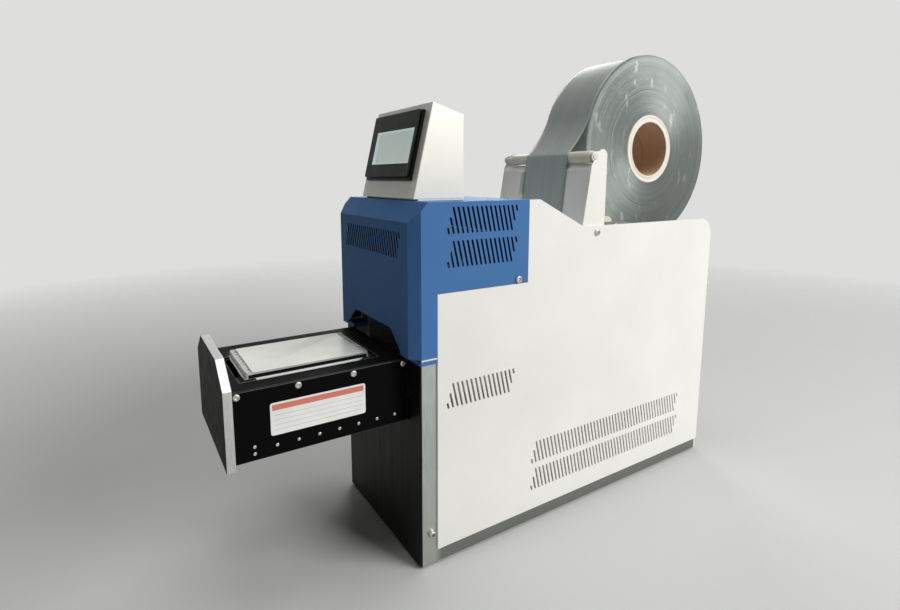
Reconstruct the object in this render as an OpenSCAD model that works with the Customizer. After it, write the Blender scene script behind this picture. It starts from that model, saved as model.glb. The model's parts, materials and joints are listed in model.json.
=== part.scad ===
// Benchtop film sealing machine for well plates: sheet steel body, sliding drawer,
// heated press, film roll on a cradle, guide tower, cutter and a tilted display.
// Origin: centre of the base plate's underside. +X right, +Y to the rear, +Z up. Millimetres.

/* [Body] */
// Width over the side panels
body_w = 196; // [190:1:220]
// Depth from the column front to the rear panel
body_d = 490; // [484:1:540]
// Thickness of the folded sheet steel
sheet_t = 2; // [1.5:0.5:2.5]
// Thickness of the base plate
base_t = 3; // [2:0.5:6]
// Height of the bare steel strip below the side panels
strip_h = 15.5; // [8:0.5:30]
// Width of the bare steel strip in front of the side panels
strip_w = 20; // [12:1:24]
// Height of the side panels' rear top edge
rear_top_z = 357; // [352:1:375]
// Radius of the side panels' rear corner
panel_r = 25; // [5:1:40]
// Gap between neighbouring skins
skin_gap = 0.5; // [0.3:0.1:1.5]
// Height of a rubber foot
foot_h = 2.5; // [1:0.5:8]
// Radius of a rubber foot
foot_r = 9; // [6:0.5:14]
// Bench bolt spacing across the base
bench_dx = 120; // [80:1:140]
// Bench bolt spacing along the base
bench_dy = 440; // [430:1:450]
// Radius of a bench bolt hole
bench_r = 3.3; // [2.2:0.1:4.5]

/* [Cover] */
// Depth of the blue cover behind the column front
cover_d = 139; // [132:1:150]
// Height of the blue cover
cover_h = 159; // [150:1:190]
// How far the cover's front stands ahead of the column
cover_proud = 9; // [8.5:0.5:14]
// Chamfer on the cover's upright corners
cover_chamfer = 10; // [4:0.5:20]
// Depth of the bevel along the cover's top front edge
bevel_d = 18; // [8:1:19]
// Height of the same bevel
bevel_h = 20; // [8:1:26]
// Height of the ledge that carries the cover
ledge_h = 4.5; // [3:0.5:8]
// Slit between the ledge and the cover
ledge_slit = 2; // [1:0.5:4]
// Height at which the side panels step down below the cover
step_z = 298; // [285:1:310]

/* [Vents] */
// Width of a vent slot
slot_w = 2.5; // [1.5:0.1:3.2]
// Height of a vent row
slot_h = 27.5; // [15:0.5:29]
// Distance from slot to slot
slot_pitch = 5.83; // [5:0.01:7]
// How far a slot's foot leans back from its head
slot_lean = 6.5; // [0:0.1:8]
// Height of the slots that end a row, short one
slot_short = 6.5; // [3:0.5:9]
// Height of the slots that end a row, middle one
slot_middle = 17; // [10:0.5:20]
// Distance between the feet of two rows
row_pitch = 34.5; // [32:0.5:40]

/* [Drawer] */
// Outside width of the drawer box
drawer_w = 145; // [140:1:146]
// Underside of the drawer box above the base
drawer_z = 160; // [154:1:170]
// Height of the drawer box
drawer_h = 67; // [62:1:72]
// Travel of the drawer
drawer_travel = 175.5; // [165:0.5:185]
// Thickness of the drawer's sides
drawer_side_t = 3; // [2:0.5:4]
// Thickness of the drawer's deck
deck_t = 3; // [2:0.5:4]
// Width of the drawer's front plate
door_w = 149; // [148.5:0.5:152]
// Thickness of the front plate
door_t = 8; // [5:0.5:8.5]
// How far the front plate hangs below the box
door_drop = 5.5; // [0:0.5:9]
// How far the front plate stands above the box
door_rise = 25; // [16:0.5:28]
// Width cut off each top corner of the front plate
door_cut = 30; // [10:1:34]
// Gap left at the column when the drawer is shut
shut_gap = 0.5; // [0.3:0.1:2]
// Gap between the screw heads and the opening
drawer_gap = 0.5; // [0.4:0.1:0.9]

/* [Well plate] */
// Length of the well plate
plate_l = 127.8; // [120:0.1:130]
// Width of the well plate
plate_w = 85.5; // [80:0.1:88]
// Height of the well plate above its seat
plate_h = 8; // [6:0.5:10]
// Height of the well plate's flange
flange_h = 1.6; // [1.5:0.1:3.5]
// Depth of the wells below the seat
well_h = 8; // [4:0.5:20]
// Thickness of the nest under the plate
nest_t = 4; // [3:0.5:6]
// Width of the nest around the plate
nest_rim = 6; // [4:0.5:7]
// Distance from the front plate to the well plate
plate_inset = 17.6; // [15:0.1:22]
// Clearance around the well plate in its nest
plate_gap = 0.4; // [0.2:0.1:1]
// Thickness of the film sealed on the plate
seal_t = 0.4; // [0.2:0.1:0.8]

/* [Press] */
// Stroke of the heated press
press_stroke = 17; // [12:0.5:22]
// Gap left over the plate when the press is down
press_gap = 0.5; // [0.3:0.1:2]
// Thickness of the heater platen
platen_t = 18; // [12:1:24]
// Thickness of the insulating board
insulator_t = 6; // [3:0.5:10]
// Thickness of the press plate
press_plate_t = 8; // [6:0.5:12]
// Thickness of the press bridge
bridge_t = 12; // [8:1:16]
// Thickness of the press frame plates
frame_t = 6; // [4:0.5:8]
// Radius of the guide posts
post_r = 6; // [4:0.5:8]
// Radius of the press rod
rod_r = 8; // [5:0.5:10]
// Radius of the press cylinder
cyl_r = 28; // [24:1:34]

/* [Film] */
// Width of the film
film_w = 80; // [70:1:84]
// Thickness of the film as modelled
film_t = 0.3; // [0.2:0.1:0.5]
// Gap between the film and a roller
film_gap = 0.3; // [0.25:0.05:0.6]
// Radius of the film roll
roll_r = 130; // [115:1:136]
// Outer radius of the roll's core
core_ro = 48; // [44:0.5:52]
// Inner radius of the roll's core
core_ri = 38.1; // [36:0.1:40]
// How far the core stands out of each side of the roll
core_proud = 0.8; // [0.3:0.1:1.4]
// Radius of the cradle rollers
cradle_r = 9; // [7:0.5:10]
// Height of the cradle rollers' flanges
cradle_flange = 4; // [2:0.5:6]
// Front cradle roller behind the machine's middle
cradle_front_y = 80; // [74:1:90]
// Rear cradle roller in front of the rear panel
cradle_rear_in = 20; // [16:1:30]
// Height of the front cradle roller above the deck
cradle_front_up = 0; // [-2:0.5:4]
// Height of the rear cradle roller above the tray
cradle_rear_up = 18; // [16:1:24]

/* [Tower] */
// Width over the tower's cheeks
tower_w = 172; // [160:1:174]
// Distance of the tower to the left of the middle
tower_left = 6; // [2:0.5:6.5]
// Depth of a cheek at the deck
tower_d = 40; // [34:1:46]
// Height of the guide roller above the deck
guide_up = 91; // [75:1:105]
// Radius of the guide rollers
guide_r = 7.5; // [5:0.5:8.5]
// Radius of the rollers' shafts
shaft_r = 4; // [3:0.5:4.5]
// Running clearance of shafts and posts
run_gap = 0.05; // [0.02:0.01:0.09]

/* [Display] */
// Width of the display housing
disp_w = 129; // [115:1:150]
// Depth of the display housing
disp_d = 63; // [56:1:75]
// Height of the housing's front edge
disp_h = 100; // [88:1:115]
// How far the housing's front leans back
disp_lean = 24; // [10:1:30]
// How far the housing's top falls to the rear
disp_fall = 11; // [0:1:20]
// Width of the display's bezel
bezel_w = 104; // [100:1:112]
// Height of the display's bezel
bezel_h = 76; // [60:1:78]
// How far the bezel stands out of the housing
bezel_t = 7; // [4:0.5:9]
// Width of the screen
screen_w = 88; // [60:1:90]
// How far the screen stands right of the bezel's middle
screen_x = 4; // [-4:0.5:4]
// Height of the screen
screen_h = 37; // [30:1:52]

/* [Hidden] */
$fn = 64;

// Colours
blue = [0.23, 0.44, 0.72];
white = [0.94, 0.93, 0.9];
steel = [0.66, 0.67, 0.66];
black = [0.08, 0.08, 0.08];
silver = [0.75, 0.76, 0.77];
clear = [0.8, 0.83, 0.82];
film_grey = [0.62, 0.66, 0.66];
eps = 0.01;

// Body planes
front_y = -body_d / 2;
rear_y = body_d / 2;
skin_x = body_w / 2;
wall_x = skin_x - sheet_t;
inner_x = skin_x - 2 * sheet_t;
foot_inset = 20;

// Drawer heights and the pieces stacked on them
drawer_top = drawer_z + drawer_h;
seat_z = drawer_top - deck_t;
plate_top = seat_z + plate_h;
column_top = drawer_top - 1.5;
ledge_top = column_top + ledge_h;
cover_z0 = ledge_top + ledge_slit;
cover_top = cover_z0 + cover_h;
cover_y0 = front_y - cover_proud;
cover_y1 = front_y + cover_d;
deck_z = rear_top_z - 7;
tray_z = deck_z - 40;
well_wall_y = cradle_front_y - cradle_r - cradle_flange - 8;

// Drawer places, drawn out
door_back_y = front_y - shut_gap - drawer_travel;
deck_end_y = front_y - 2;
deck_flange_bottom = drawer_z + 26;
screw_head_t = 1;
opening_x = drawer_w / 2 + screw_head_t + drawer_gap;
side_x = drawer_w / 2 - drawer_side_t;
rail_t = 7.5;
rail_h = 9;
rail_z = drawer_z + 10;
rail_end_y = front_y + 60;
block_gap = 0.3;
beam_x = side_x - rail_t - 6.5;
beam_z = rail_z - 9;
beam_h = 20;
shut_end_y = deck_end_y + drawer_travel;

// Press places
plate_y = door_back_y + plate_inset + plate_l / 2;
press_y = plate_y + drawer_travel;
platen_z = plate_top + seal_t + press_gap + press_stroke;
platen_w = plate_w + 4;
platen_l = plate_l + 4;
insulator_z = platen_z + platen_t;
press_plate_z = insulator_z + insulator_t;
bridge_z = press_plate_z + press_plate_t + 8;
bridge_top = bridge_z + bridge_t;
bridge_l = 100;
post_x = 50;
frame_x = opening_x + 2;
frame_y0 = front_y + strip_w + 2;
cyl_floor = 4;
cyl_head = 6;
piston_t = 12;
cyl_room = press_stroke + piston_t + 2;
cyl_h = cyl_floor + cyl_room + cyl_head;
cyl_bore = cyl_r - 6;
piston_z = bridge_top + cyl_floor + press_stroke + 1;

// Film path: the roll lies on two cradle rollers, the film runs over the guide roller,
// down behind the cover, round the turn roller and forward between the feed rollers
film_z = platen_z - 7;
path_gap = film_gap + film_t / 2;
motor_w = 28;
motor_l = 30;
feed_y = shut_end_y + motor_w / 2 + 3;
feed_r = 8;
pinch_r = 10;
turn_y = feed_y + 32;
frame_y1 = turn_y + 22.5;
turn_z = film_z + guide_r + path_gap;
feed_z = film_z - path_gap - feed_r;
pinch_z = film_z + path_gap + pinch_r;
cutter_y = press_y + platen_l / 2 + 4;
cutter_t = 10;
cutter_z = film_z + 18;
film_end_y = cutter_y + cutter_t + 2;
tower_y = -3;
guide_y = tower_y + 19;
guide_z = deck_z + guide_up;
cradle_front = [cradle_front_y, deck_z + cradle_front_up];
cradle_rear = [rear_y - cradle_rear_in, tray_z + cradle_rear_up];
roll_gap = 0.3;
roll_w = film_w + 2;
roll_c = resting_circle(cradle_front, cradle_rear, roll_r + cradle_r + roll_gap);
roll_y = roll_c[0];
roll_z = roll_c[1];

// Centre of the circle that lies on two equal circles, reach away from both centres
function resting_circle(a, b, reach) =
    let (mid = (a + b) / 2, half = norm(b - a) / 2, dir = (b - a) / norm(b - a))
    mid + sqrt(reach * reach - half * half) * [-dir[1], dir[0]];
function polar(c, r, a) = c + r * [cos(a), sin(a)];

// Angles at which the film would leave the roll if it were taut, leaves it slack,
// meets the guide roller and leaves it
guide_c = [guide_y, guide_z];
turn_c = [turn_y, turn_z];
film_roll_r = roll_r + path_gap;
film_guide_r = guide_r + path_gap;
to_roll = roll_c - guide_c;
to_turn = turn_c - guide_c;
taut_a = 90 + atan2(to_roll[1], to_roll[0]) + asin((film_roll_r - film_guide_r) / norm(to_roll));
film_wrap = 4;
film_slack = 13;
slack_a = taut_a + film_slack;
meet_a = taut_a - film_slack;
leave_a = 360 + atan2(to_turn[1], to_turn[0]) - acos(2 * film_guide_r / norm(to_turn));

// The slack film bows between the roll and the guide roller, along the tangents of both
function along(a) = [-sin(a), cos(a)];
slack_from = polar(roll_c, film_roll_r, slack_a);
slack_to = polar(guide_c, film_guide_r, meet_a);
slack_pull = norm(slack_to - slack_from) / 3;
slack_bend = [
    slack_from, slack_from + slack_pull * along(slack_a), slack_to - slack_pull * along(meet_a), slack_to
];
function bend_at(b, t) =
    let (u = 1 - t)
    u * u * u * b[0] + 3 * u * u * t * b[1] + 3 * u * t * t * b[2] + t * t * t * b[3];
function bend_along(b, t) =
    let (u = 1 - t, d = u * u * (b[1] - b[0]) + 2 * u * t * (b[2] - b[1]) + t * t * (b[3] - b[2]))
    d / norm(d);

// Points along the film with the unit normal of its outer face
film_path = concat(
    [for (k = [0 : 5]) let (a = slack_a - (film_wrap + film_slack) * (1 - k / 5))
        [polar(roll_c, film_roll_r, a), polar([0, 0], 1, a)]],
    [for (k = [1 : 7]) let (d = bend_along(slack_bend, k / 8))
        [bend_at(slack_bend, k / 8), [d[1], -d[0]]]],
    [for (k = [0 : 6]) let (a = meet_a + (leave_a - meet_a) * k / 6)
        [polar(guide_c, film_guide_r, a), polar([0, 0], 1, a)]],
    [for (k = [0 : 8]) let (a = leave_a - 180 + (90 - leave_a) * k / 8)
        [polar(turn_c, film_guide_r, a), -polar([0, 0], 1, a)]],
    [[[film_end_y, film_z], [0, 1]]]
);
film_outline = concat(
    [for (p = film_path) p[0] + p[1] * film_t / 2],
    [for (k = [len(film_path) - 1 : -1 : 0]) film_path[k][0] - film_path[k][1] * film_t / 2]
);
// Where the film's straight run below the guide roller stands at a height
film_top = polar(guide_c, film_guide_r, leave_a);
film_low = polar(turn_c, film_guide_r, leave_a - 180);
function film_at(z) = lookup(z, [[film_low[1], film_low[0]], [film_top[1], film_top[0]]]);
film_deck_y = film_at(deck_z);

// Plates in the side plane, the front plane, and round bars along X and Y
module plate_yz(x0, t) {
    translate([x0, 0, 0]) rotate([90, 0, 90]) linear_extrude(t) children();
}
module plate_xz(y0, t) {
    translate([0, y0 + t, 0]) rotate([90, 0, 0]) linear_extrude(t) children();
}
module bar_x(r, x0, x1, y, z) {
    translate([x0, y, z]) rotate([0, 90, 0]) cylinder(r = r, h = x1 - x0);
}
module bar_y(r, y0, y1, x, z) {
    translate([x, y0, z]) rotate([-90, 0, 0]) cylinder(r = r, h = y1 - y0);
}
module box(low, high) {
    translate(low) cube(high - low);
}
module both_sides() {
    children();
    mirror([1, 0, 0]) children();
}

// Leaning vent slots: a row starts with a short and a middle slot on its foot line
// and ends with a middle and a short slot on its head line
module vent_slot(foot, h0, h1) {
    lean = slot_lean / slot_h;
    polygon([
        [foot - slot_w / 2 - lean * h0, h0], [foot + slot_w / 2 - lean * h0, h0],
        [foot + slot_w / 2 - lean * h1, h1], [foot - slot_w / 2 - lean * h1, h1]
    ]);
}
module vent_row(count) {
    for (k = [0 : count - 1]) {
        top = k == 0 ? slot_short : k == 1 ? slot_middle : slot_h;
        bottom = k == count - 1 ? slot_h - slot_short : k == count - 2 ? slot_h - slot_middle : 0;
        vent_slot(k * slot_pitch, bottom, top);
    }
}
side_vent_y = front_y + 33.6;
side_vent_count = 17;
long_vent_y = front_y + 153.5;
long_vent_count = 50;
long_vent_z = 40;
mid_vent_z = 173;
cover_vent_z = cover_z0 + 92;
front_vent_count = 26;
front_vent_z = cover_z0 + 101;
front_vent_x = -(front_vent_count - 1) * slot_pitch / 2 + slot_lean / 2;

// Window behind a field of vents
vent_margin = 2.5;
module vent_window(count, rows) {
    side = slot_w / 2 + vent_margin;
    width = slot_lean + (count - 1) * slot_pitch + 2 * side;
    height = slot_h + (rows - 1) * row_pitch + 2 * vent_margin;
    translate([-slot_lean - side, -vent_margin]) square([width, height]);
}

// Base and chassis
module base_plate() {
    color(steel) difference() {
        box([-inner_x, front_y + sheet_t, 0], [inner_x, rear_y - sheet_t, base_t]);
        for (sx = [-1, 1], sy = [-1, 1])
            translate([sx * bench_dx / 2, sy * bench_dy / 2, -1]) cylinder(r = bench_r, h = base_t + 2);
    }
}
module rubber_feet() {
    color(black) for (sx = [-1, 1], sy = [-1, 1])
        translate([sx * (inner_x - foot_inset), sy * (rear_y - foot_inset), -foot_h])
            cylinder(r1 = foot_r - 1, r2 = foot_r, h = foot_h);
}
// The walls reach up behind the cover's lower edge, which is screwed to them
cover_lap = 20;
wall_mid_z = step_z + cover_lap;
wall_rear_z = deck_z - 1;
module chassis_wall() {
    step_y = cover_y1 + 6;
    color(steel) plate_yz(inner_x, sheet_t) difference() {
        polygon([
            [front_y + sheet_t, 0], [rear_y - sheet_t, 0], [rear_y - sheet_t, wall_rear_z],
            [step_y, wall_rear_z], [step_y, wall_mid_z], [front_y + strip_w, wall_mid_z],
            [front_y + strip_w, column_top], [front_y + sheet_t, column_top]
        ]);
        translate([side_vent_y, mid_vent_z]) vent_window(side_vent_count, 1);
        translate([long_vent_y, long_vent_z]) vent_window(long_vent_count, 2);
    }
}
module chassis_left() mirror([1, 0, 0]) chassis_wall();
module chassis_right() chassis_wall();
module column_front() {
    color([0.2, 0.2, 0.19]) plate_xz(front_y, sheet_t) difference() {
        translate([-wall_x, 0]) square([2 * wall_x, column_top]);
        translate([-opening_x, drawer_z - drawer_gap]) square([2 * opening_x, column_top]);
    }
}
fan_size = 80;
fan_x = -inner_x + fan_size / 2 + 9;
fan_z = 90;
fan_hole_r = 37;
fan_pin_r = 2;
inlet_x = inner_x - 44;
inlet_z = 64;
inlet_w = 28;
inlet_h = 48;
fitting_x = inlet_x;
fitting_z = 130;
fitting_r = 6;
module rear_panel() {
    color(white) plate_xz(rear_y - sheet_t, sheet_t) difference() {
        translate([-wall_x, 0]) square([2 * wall_x, tray_z - sheet_t]);
        translate([fan_x, fan_z]) circle(r = fan_hole_r);
        translate([inlet_x - inlet_w / 2, inlet_z - inlet_h / 2]) square([inlet_w, inlet_h]);
        translate([fitting_x, fitting_z]) circle(r = fitting_r);
    }
}

// Side panels
slope_start = 16;
slope_end = 86.5;
module side_panel() {
    color(white) plate_yz(wall_x, sheet_t) difference() {
        union() {
            polygon([
                [front_y + strip_w, strip_h], [rear_y, strip_h], [rear_y, rear_top_z - panel_r],
                [rear_y - panel_r, rear_top_z - panel_r], [rear_y - panel_r, rear_top_z],
                [cover_y1 + slope_end, rear_top_z], [cover_y1 + slope_start, cover_top],
                [cover_y1 + skin_gap, cover_top], [cover_y1 + skin_gap, step_z], [front_y + strip_w, step_z]
            ]);
            translate([rear_y - panel_r, rear_top_z - panel_r]) intersection() {
                circle(r = panel_r);
                square(panel_r);
            }
        }
        translate([side_vent_y, mid_vent_z]) vent_row(side_vent_count);
        for (row = [0, 1]) translate([long_vent_y, long_vent_z + row * row_pitch]) vent_row(long_vent_count);
    }
}
module left_side_panel() mirror([1, 0, 0]) side_panel();
module right_side_panel() side_panel();

// Blue cover and its ledge
module cover_ledge() {
    color(blue) both_sides()
        box([opening_x + 1, front_y, column_top], [skin_x, front_y + strip_w - skin_gap, ledge_top]);
}
door_x = door_w / 2;
door_z0 = drawer_z - door_drop;
door_z1 = drawer_top + door_rise;
door_shoulder_z = drawer_top + 3.5;
module cover_form(inset, z0) {
    half = skin_x - inset;
    y0 = cover_y0 + inset;
    y1 = cover_y1 - inset;
    top = cover_top - inset;
    past = 5;
    past_z = past * bevel_h / bevel_d;
    difference() {
        translate([0, 0, z0]) linear_extrude(top - z0) polygon([
            [-half, y1], [-half, y0 + cover_chamfer], [-half + cover_chamfer, y0],
            [half - cover_chamfer, y0], [half, y0 + cover_chamfer], [half, y1]
        ]);
        plate_yz(-skin_x - 1, body_w + 2) polygon([
            [y0 - past, top - bevel_h - past_z], [y0 + bevel_d + past, top + past_z],
            [y0 - past, top + past_z]
        ]);
    }
}
// The bare shell: below the deck its rear is open, and its sides end above the side panels
module cover_shell() {
    difference() {
        difference() {
            cover_form(0, cover_z0);
            cover_form(sheet_t, cover_z0 - 1);
        }
        box([-wall_x, cover_y1 - 2 * sheet_t, cover_z0 - 1], [wall_x, cover_y1 + 1, deck_z + skin_gap]);
        box([-skin_x - 1, front_y + strip_w - skin_gap, cover_z0 - 1],
            [skin_x + 1, cover_y1 + 1, step_z + skin_gap]);
    }
}
module top_cover() {
    mouth_x = door_x + 2.5;
    mouth_top = door_z1 + 4;
    color(blue) difference() {
        cover_shell();
        plate_xz(cover_y0 - 1, sheet_t + 2) polygon([
            [-mouth_x, cover_z0 - 1], [mouth_x, cover_z0 - 1], [mouth_x, door_shoulder_z],
            [mouth_x - door_cut, mouth_top], [-mouth_x + door_cut, mouth_top], [-mouth_x, door_shoulder_z]
        ]);
        plate_xz(cover_y0 - 1, sheet_t + 2)
            translate([front_vent_x, front_vent_z]) vent_row(front_vent_count);
        both_sides() for (row = [0, 1]) plate_yz(wall_x - 1, sheet_t + 2)
            translate([side_vent_y, cover_vent_z + row * row_pitch]) vent_row(side_vent_count);
    }
}

// Rear deck with the film slot and the well for the roll
module rear_deck() {
    slot_x = film_w / 2 + 6;
    slot_half = 9;
    color(white) difference() {
        plate_yz(-inner_x, 2 * inner_x) polygon([
            [cover_y1 + skin_gap, deck_z - sheet_t], [cover_y1 + skin_gap, deck_z], [well_wall_y, deck_z],
            [well_wall_y, tray_z], [rear_y - sheet_t, tray_z], [rear_y - sheet_t, tray_z - sheet_t],
            [well_wall_y - sheet_t, tray_z - sheet_t], [well_wall_y - sheet_t, deck_z - sheet_t]
        ]);
        box([-slot_x, film_deck_y - slot_half, deck_z - 10], [slot_x, film_deck_y + slot_half, deck_z + 1]);
    }
}
bracket_x = roll_w / 2 + 19;
bracket_t = 3;
module cradle_brackets() {
    rim = 6.5;
    shoulder = 15;
    y0 = well_wall_y + 1;
    y1 = rear_y - sheet_t - 1;
    color(steel) both_sides() difference() {
        plate_yz(bracket_x, bracket_t) polygon([
            [y0, tray_z], [y1, tray_z], [y1, cradle_rear[1] + rim],
            [cradle_rear[0] - shoulder, cradle_rear[1] + rim],
            [cradle_front[0] + shoulder, cradle_front[1] + rim], [y0, cradle_front[1] + rim]
        ]);
        for (c = [cradle_front, cradle_rear])
            bar_x(shaft_r + run_gap, bracket_x - 1, bracket_x + bracket_t + 1, c[0], c[1]);
    }
}

// Display
gasket_t = 1.5;
disp_y0 = front_y + 11;
disp_z0 = cover_top + gasket_t;
disp_tilt = atan2(disp_lean, disp_h);
bezel_v = 19.5;
module on_display_face() {
    translate([0, disp_y0, disp_z0]) rotate([-disp_tilt, 0, 0]) children();
}
module display_gasket() {
    inset = 0.5;
    x = disp_w / 2 - inset;
    color(black) box([-x, disp_y0 + 6, cover_top], [x, disp_y0 + disp_d - inset, disp_z0]);
}
module display_form(x, inset, floor) {
    y0 = disp_y0 + inset;
    y1 = disp_y0 + disp_d - inset;
    z0 = disp_z0 - floor;
    z1 = disp_z0 + disp_h - inset * 1.2;
    plate_yz(-x, 2 * x) polygon([[y0, z0], [y0 + disp_lean, z1], [y1, z1 - disp_fall], [y1, z0]]);
}
module display_housing() {
    bezel_lap = 5;
    hole_x = bezel_w / 2 - bezel_lap;
    color(white) difference() {
        display_form(disp_w / 2, 0, 0);
        display_form(disp_w / 2 - sheet_t, sheet_t * 1.2, 1);
        on_display_face() box([-hole_x, -1, bezel_v + bezel_lap], [hole_x, 4, bezel_v + bezel_h - bezel_lap]);
    }
}
screen_t = 1;
screen_sink = 4;
screen_v = bezel_v + bezel_h / 2 - 1.5;
screen_x0 = screen_x - screen_w / 2;
screen_x1 = screen_x + screen_w / 2;
module display_bezel() {
    pocket = 1;
    color(black) on_display_face() difference() {
        box([-bezel_w / 2, -bezel_t, bezel_v], [bezel_w / 2, -eps, bezel_v + bezel_h]);
        box([screen_x0 - pocket, -bezel_t - 1, screen_v - screen_h / 2 - pocket],
            [screen_x1 + pocket, -bezel_t + screen_sink, screen_v + screen_h / 2 + pocket]);
    }
}
module display_screen() {
    color([0.72, 0.77, 0.74]) on_display_face()
        box([screen_x0, -bezel_t + screen_sink - screen_t, screen_v - screen_h / 2],
            [screen_x1, -bezel_t + screen_sink, screen_v + screen_h / 2]);
}

// Film guide tower
tower_x0 = -tower_w / 2 - tower_left;
tower_x1 = tower_w / 2 - tower_left;
cheek_top_r = 8;
cheek_corner_r = 2;
tab_r = 6;
cheek_rear_y = tower_y + tower_d;
cheek_c = [cheek_rear_y - cheek_top_r, guide_z + 1.5];
cheek_corner = [tower_y + 15, guide_z - 11];
// A cheek is cut back at the front of its round top, and a tab on it carries the guide roller
module cheek_outline() {
    hull() {
        translate([tower_y, deck_z]) square([tower_d, 1]);
        translate(cheek_corner) circle(r = cheek_corner_r, $fn = 24);
        translate(cheek_c) circle(r = cheek_top_r, $fn = 32);
    }
    hull() {
        translate(guide_c) circle(r = tab_r, $fn = 32);
        translate(cheek_c) circle(r = tab_r, $fn = 32);
    }
}
// The plate stands close behind the film and folds back under the guide roller
film_clear = 1.8;
foot_gap = 0.5;
fold_z = guide_z - 16;
lip_gap = 1.5;
plate_lip = polar(guide_c, guide_r + lip_gap, 255);
plate_back = [sheet_t, -0.3 * sheet_t];
function plate_at(z) = [film_at(z) + film_clear, z];
module tower_plate_outline() {
    foot = plate_at(deck_z + foot_gap);
    fold = plate_at(fold_z);
    polygon([foot, fold, plate_lip, plate_lip + plate_back, fold + plate_back, foot + [sheet_t, 0]]);
}
module film_tower() {
    foot_w = 12;
    foot_y = tower_y + 8;
    color([0.93, 0.92, 0.88]) difference() {
        union() {
            for (x = [tower_x0, tower_x1 - sheet_t]) plate_yz(x, sheet_t) cheek_outline();
            for (x = [tower_x0 + sheet_t - eps, tower_x1 - sheet_t - foot_w])
                box([x, foot_y, deck_z], [x + foot_w + eps, cheek_rear_y, deck_z + sheet_t]);
            plate_yz(tower_x0 + sheet_t - eps, tower_w - 2 * sheet_t + 2 * eps) tower_plate_outline();
        }
        bar_x(shaft_r + run_gap, -skin_x, skin_x, guide_y, guide_z);
    }
}
// Fin on the plate that stands past the film's left edge
fin_w = 5;
fin_gap = 1.5;
fin_reach = [6, 0];
fin_z0 = deck_z + 42;
fin_z1 = fold_z - 1;
module film_edge_guide() {
    film_face = [film_clear, 0];
    color(white) plate_yz(-film_w / 2 - fin_gap - fin_w, fin_w) polygon([
        plate_at(fin_z0), plate_at(fin_z1),
        plate_at(fin_z1) - film_face - fin_reach, plate_at(fin_z0) - film_face - fin_reach
    ]);
}
module roller(r, half, shaft_half, y, z) {
    bar_x(r, -half, half, y, z);
    bar_x(shaft_r, -shaft_half, shaft_half, y, z);
}
module guide_roller() {
    half = tower_x1 - sheet_t - 3;
    color(white) {
        bar_x(guide_r, -half, half, guide_y, guide_z);
        bar_x(shaft_r, tower_x0 - 1, tower_x1 + 1, guide_y, guide_z);
    }
}
module film_web() {
    color(film_grey) plate_yz(-film_w / 2, film_w) polygon(film_outline);
}

// Film roll on its cradle
module film_roll() {
    color(film_grey) difference() {
        bar_x(roll_r, -roll_w / 2, roll_w / 2, roll_y, roll_z, $fn = 128);
        bar_x(core_ro + 0.1, -roll_w, roll_w, roll_y, roll_z);
    }
}
module roll_core() {
    half = roll_w / 2 + core_proud;
    color([0.8, 0.72, 0.6]) difference() {
        bar_x(core_ro, -half, half, roll_y, roll_z);
        bar_x(core_ri, -half - 1, half + 1, roll_y, roll_z);
    }
}
module cradle_roller(c) {
    inner = roll_w / 2 + 2;
    color(white) {
        roller(cradle_r, inner + 3, bracket_x + bracket_t + 1, c[0], c[1]);
        both_sides() bar_x(cradle_r + cradle_flange, inner, inner + 3, c[0], c[1]);
    }
}
module support_roller_front() cradle_roller(cradle_front);
module support_roller_rear() cradle_roller(cradle_rear);

// Press
module press_frame() {
    color(silver) difference() {
        box([frame_x, frame_y0, base_t], [frame_x + frame_t, frame_y1, bridge_z]);
        for (c = [[feed_y, feed_z], [feed_y, pinch_z], turn_c])
            bar_x(shaft_r + run_gap, frame_x - 1, frame_x + frame_t + 1, c[0], c[1]);
    }
}
module press_frame_left() mirror([1, 0, 0]) press_frame();
module press_frame_right() press_frame();
module press_bridge() {
    color(silver) difference() {
        box([-frame_x - frame_t, press_y - bridge_l / 2, bridge_z],
            [frame_x + frame_t, press_y + bridge_l / 2, bridge_top]);
        translate([0, press_y, bridge_z - 1]) cylinder(r = rod_r + run_gap, h = bridge_t + 2);
        for (s = [-1, 1]) translate([s * post_x, press_y, bridge_z - 1])
            cylinder(r = post_r + run_gap, h = bridge_t + 2);
    }
}
module press_cylinder() {
    color(silver) difference() {
        translate([0, press_y, bridge_top]) cylinder(r = cyl_r, h = cyl_h);
        translate([0, press_y, bridge_top + cyl_floor]) cylinder(r = cyl_bore, h = cyl_room);
        translate([0, press_y, bridge_top - 1]) cylinder(r = rod_r + run_gap, h = cyl_floor + 2);
    }
}
// A flat slab centred under the press
module press_slab(w, l, z0, z1) {
    box([-w / 2, press_y - l / 2, z0], [w / 2, press_y + l / 2, z1]);
}
module heater_platen() {
    color(silver) press_slab(platen_w, platen_l, platen_z, insulator_z);
}
module insulator_plate() {
    color([0.75, 0.7, 0.55]) press_slab(platen_w, platen_l, insulator_z, press_plate_z);
}
press_plate_w = 2 * (post_x + post_r + 5);
press_plate_l = 80;
module press_plate() {
    color(steel) press_slab(press_plate_w, press_plate_l, press_plate_z, press_plate_z + press_plate_t);
}
module press_posts() {
    z0 = press_plate_z + press_plate_t;
    color(silver) for (s = [-1, 1])
        translate([s * post_x, press_y, z0]) cylinder(r = post_r, h = bridge_top - z0 + press_stroke + 5);
}
module press_rod() {
    z0 = press_plate_z + press_plate_t;
    color(silver) {
        translate([0, press_y, z0]) cylinder(r = rod_r, h = piston_z - z0 + 1);
        translate([0, press_y, piston_z]) cylinder(r = cyl_bore - run_gap, h = piston_t);
    }
}

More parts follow.
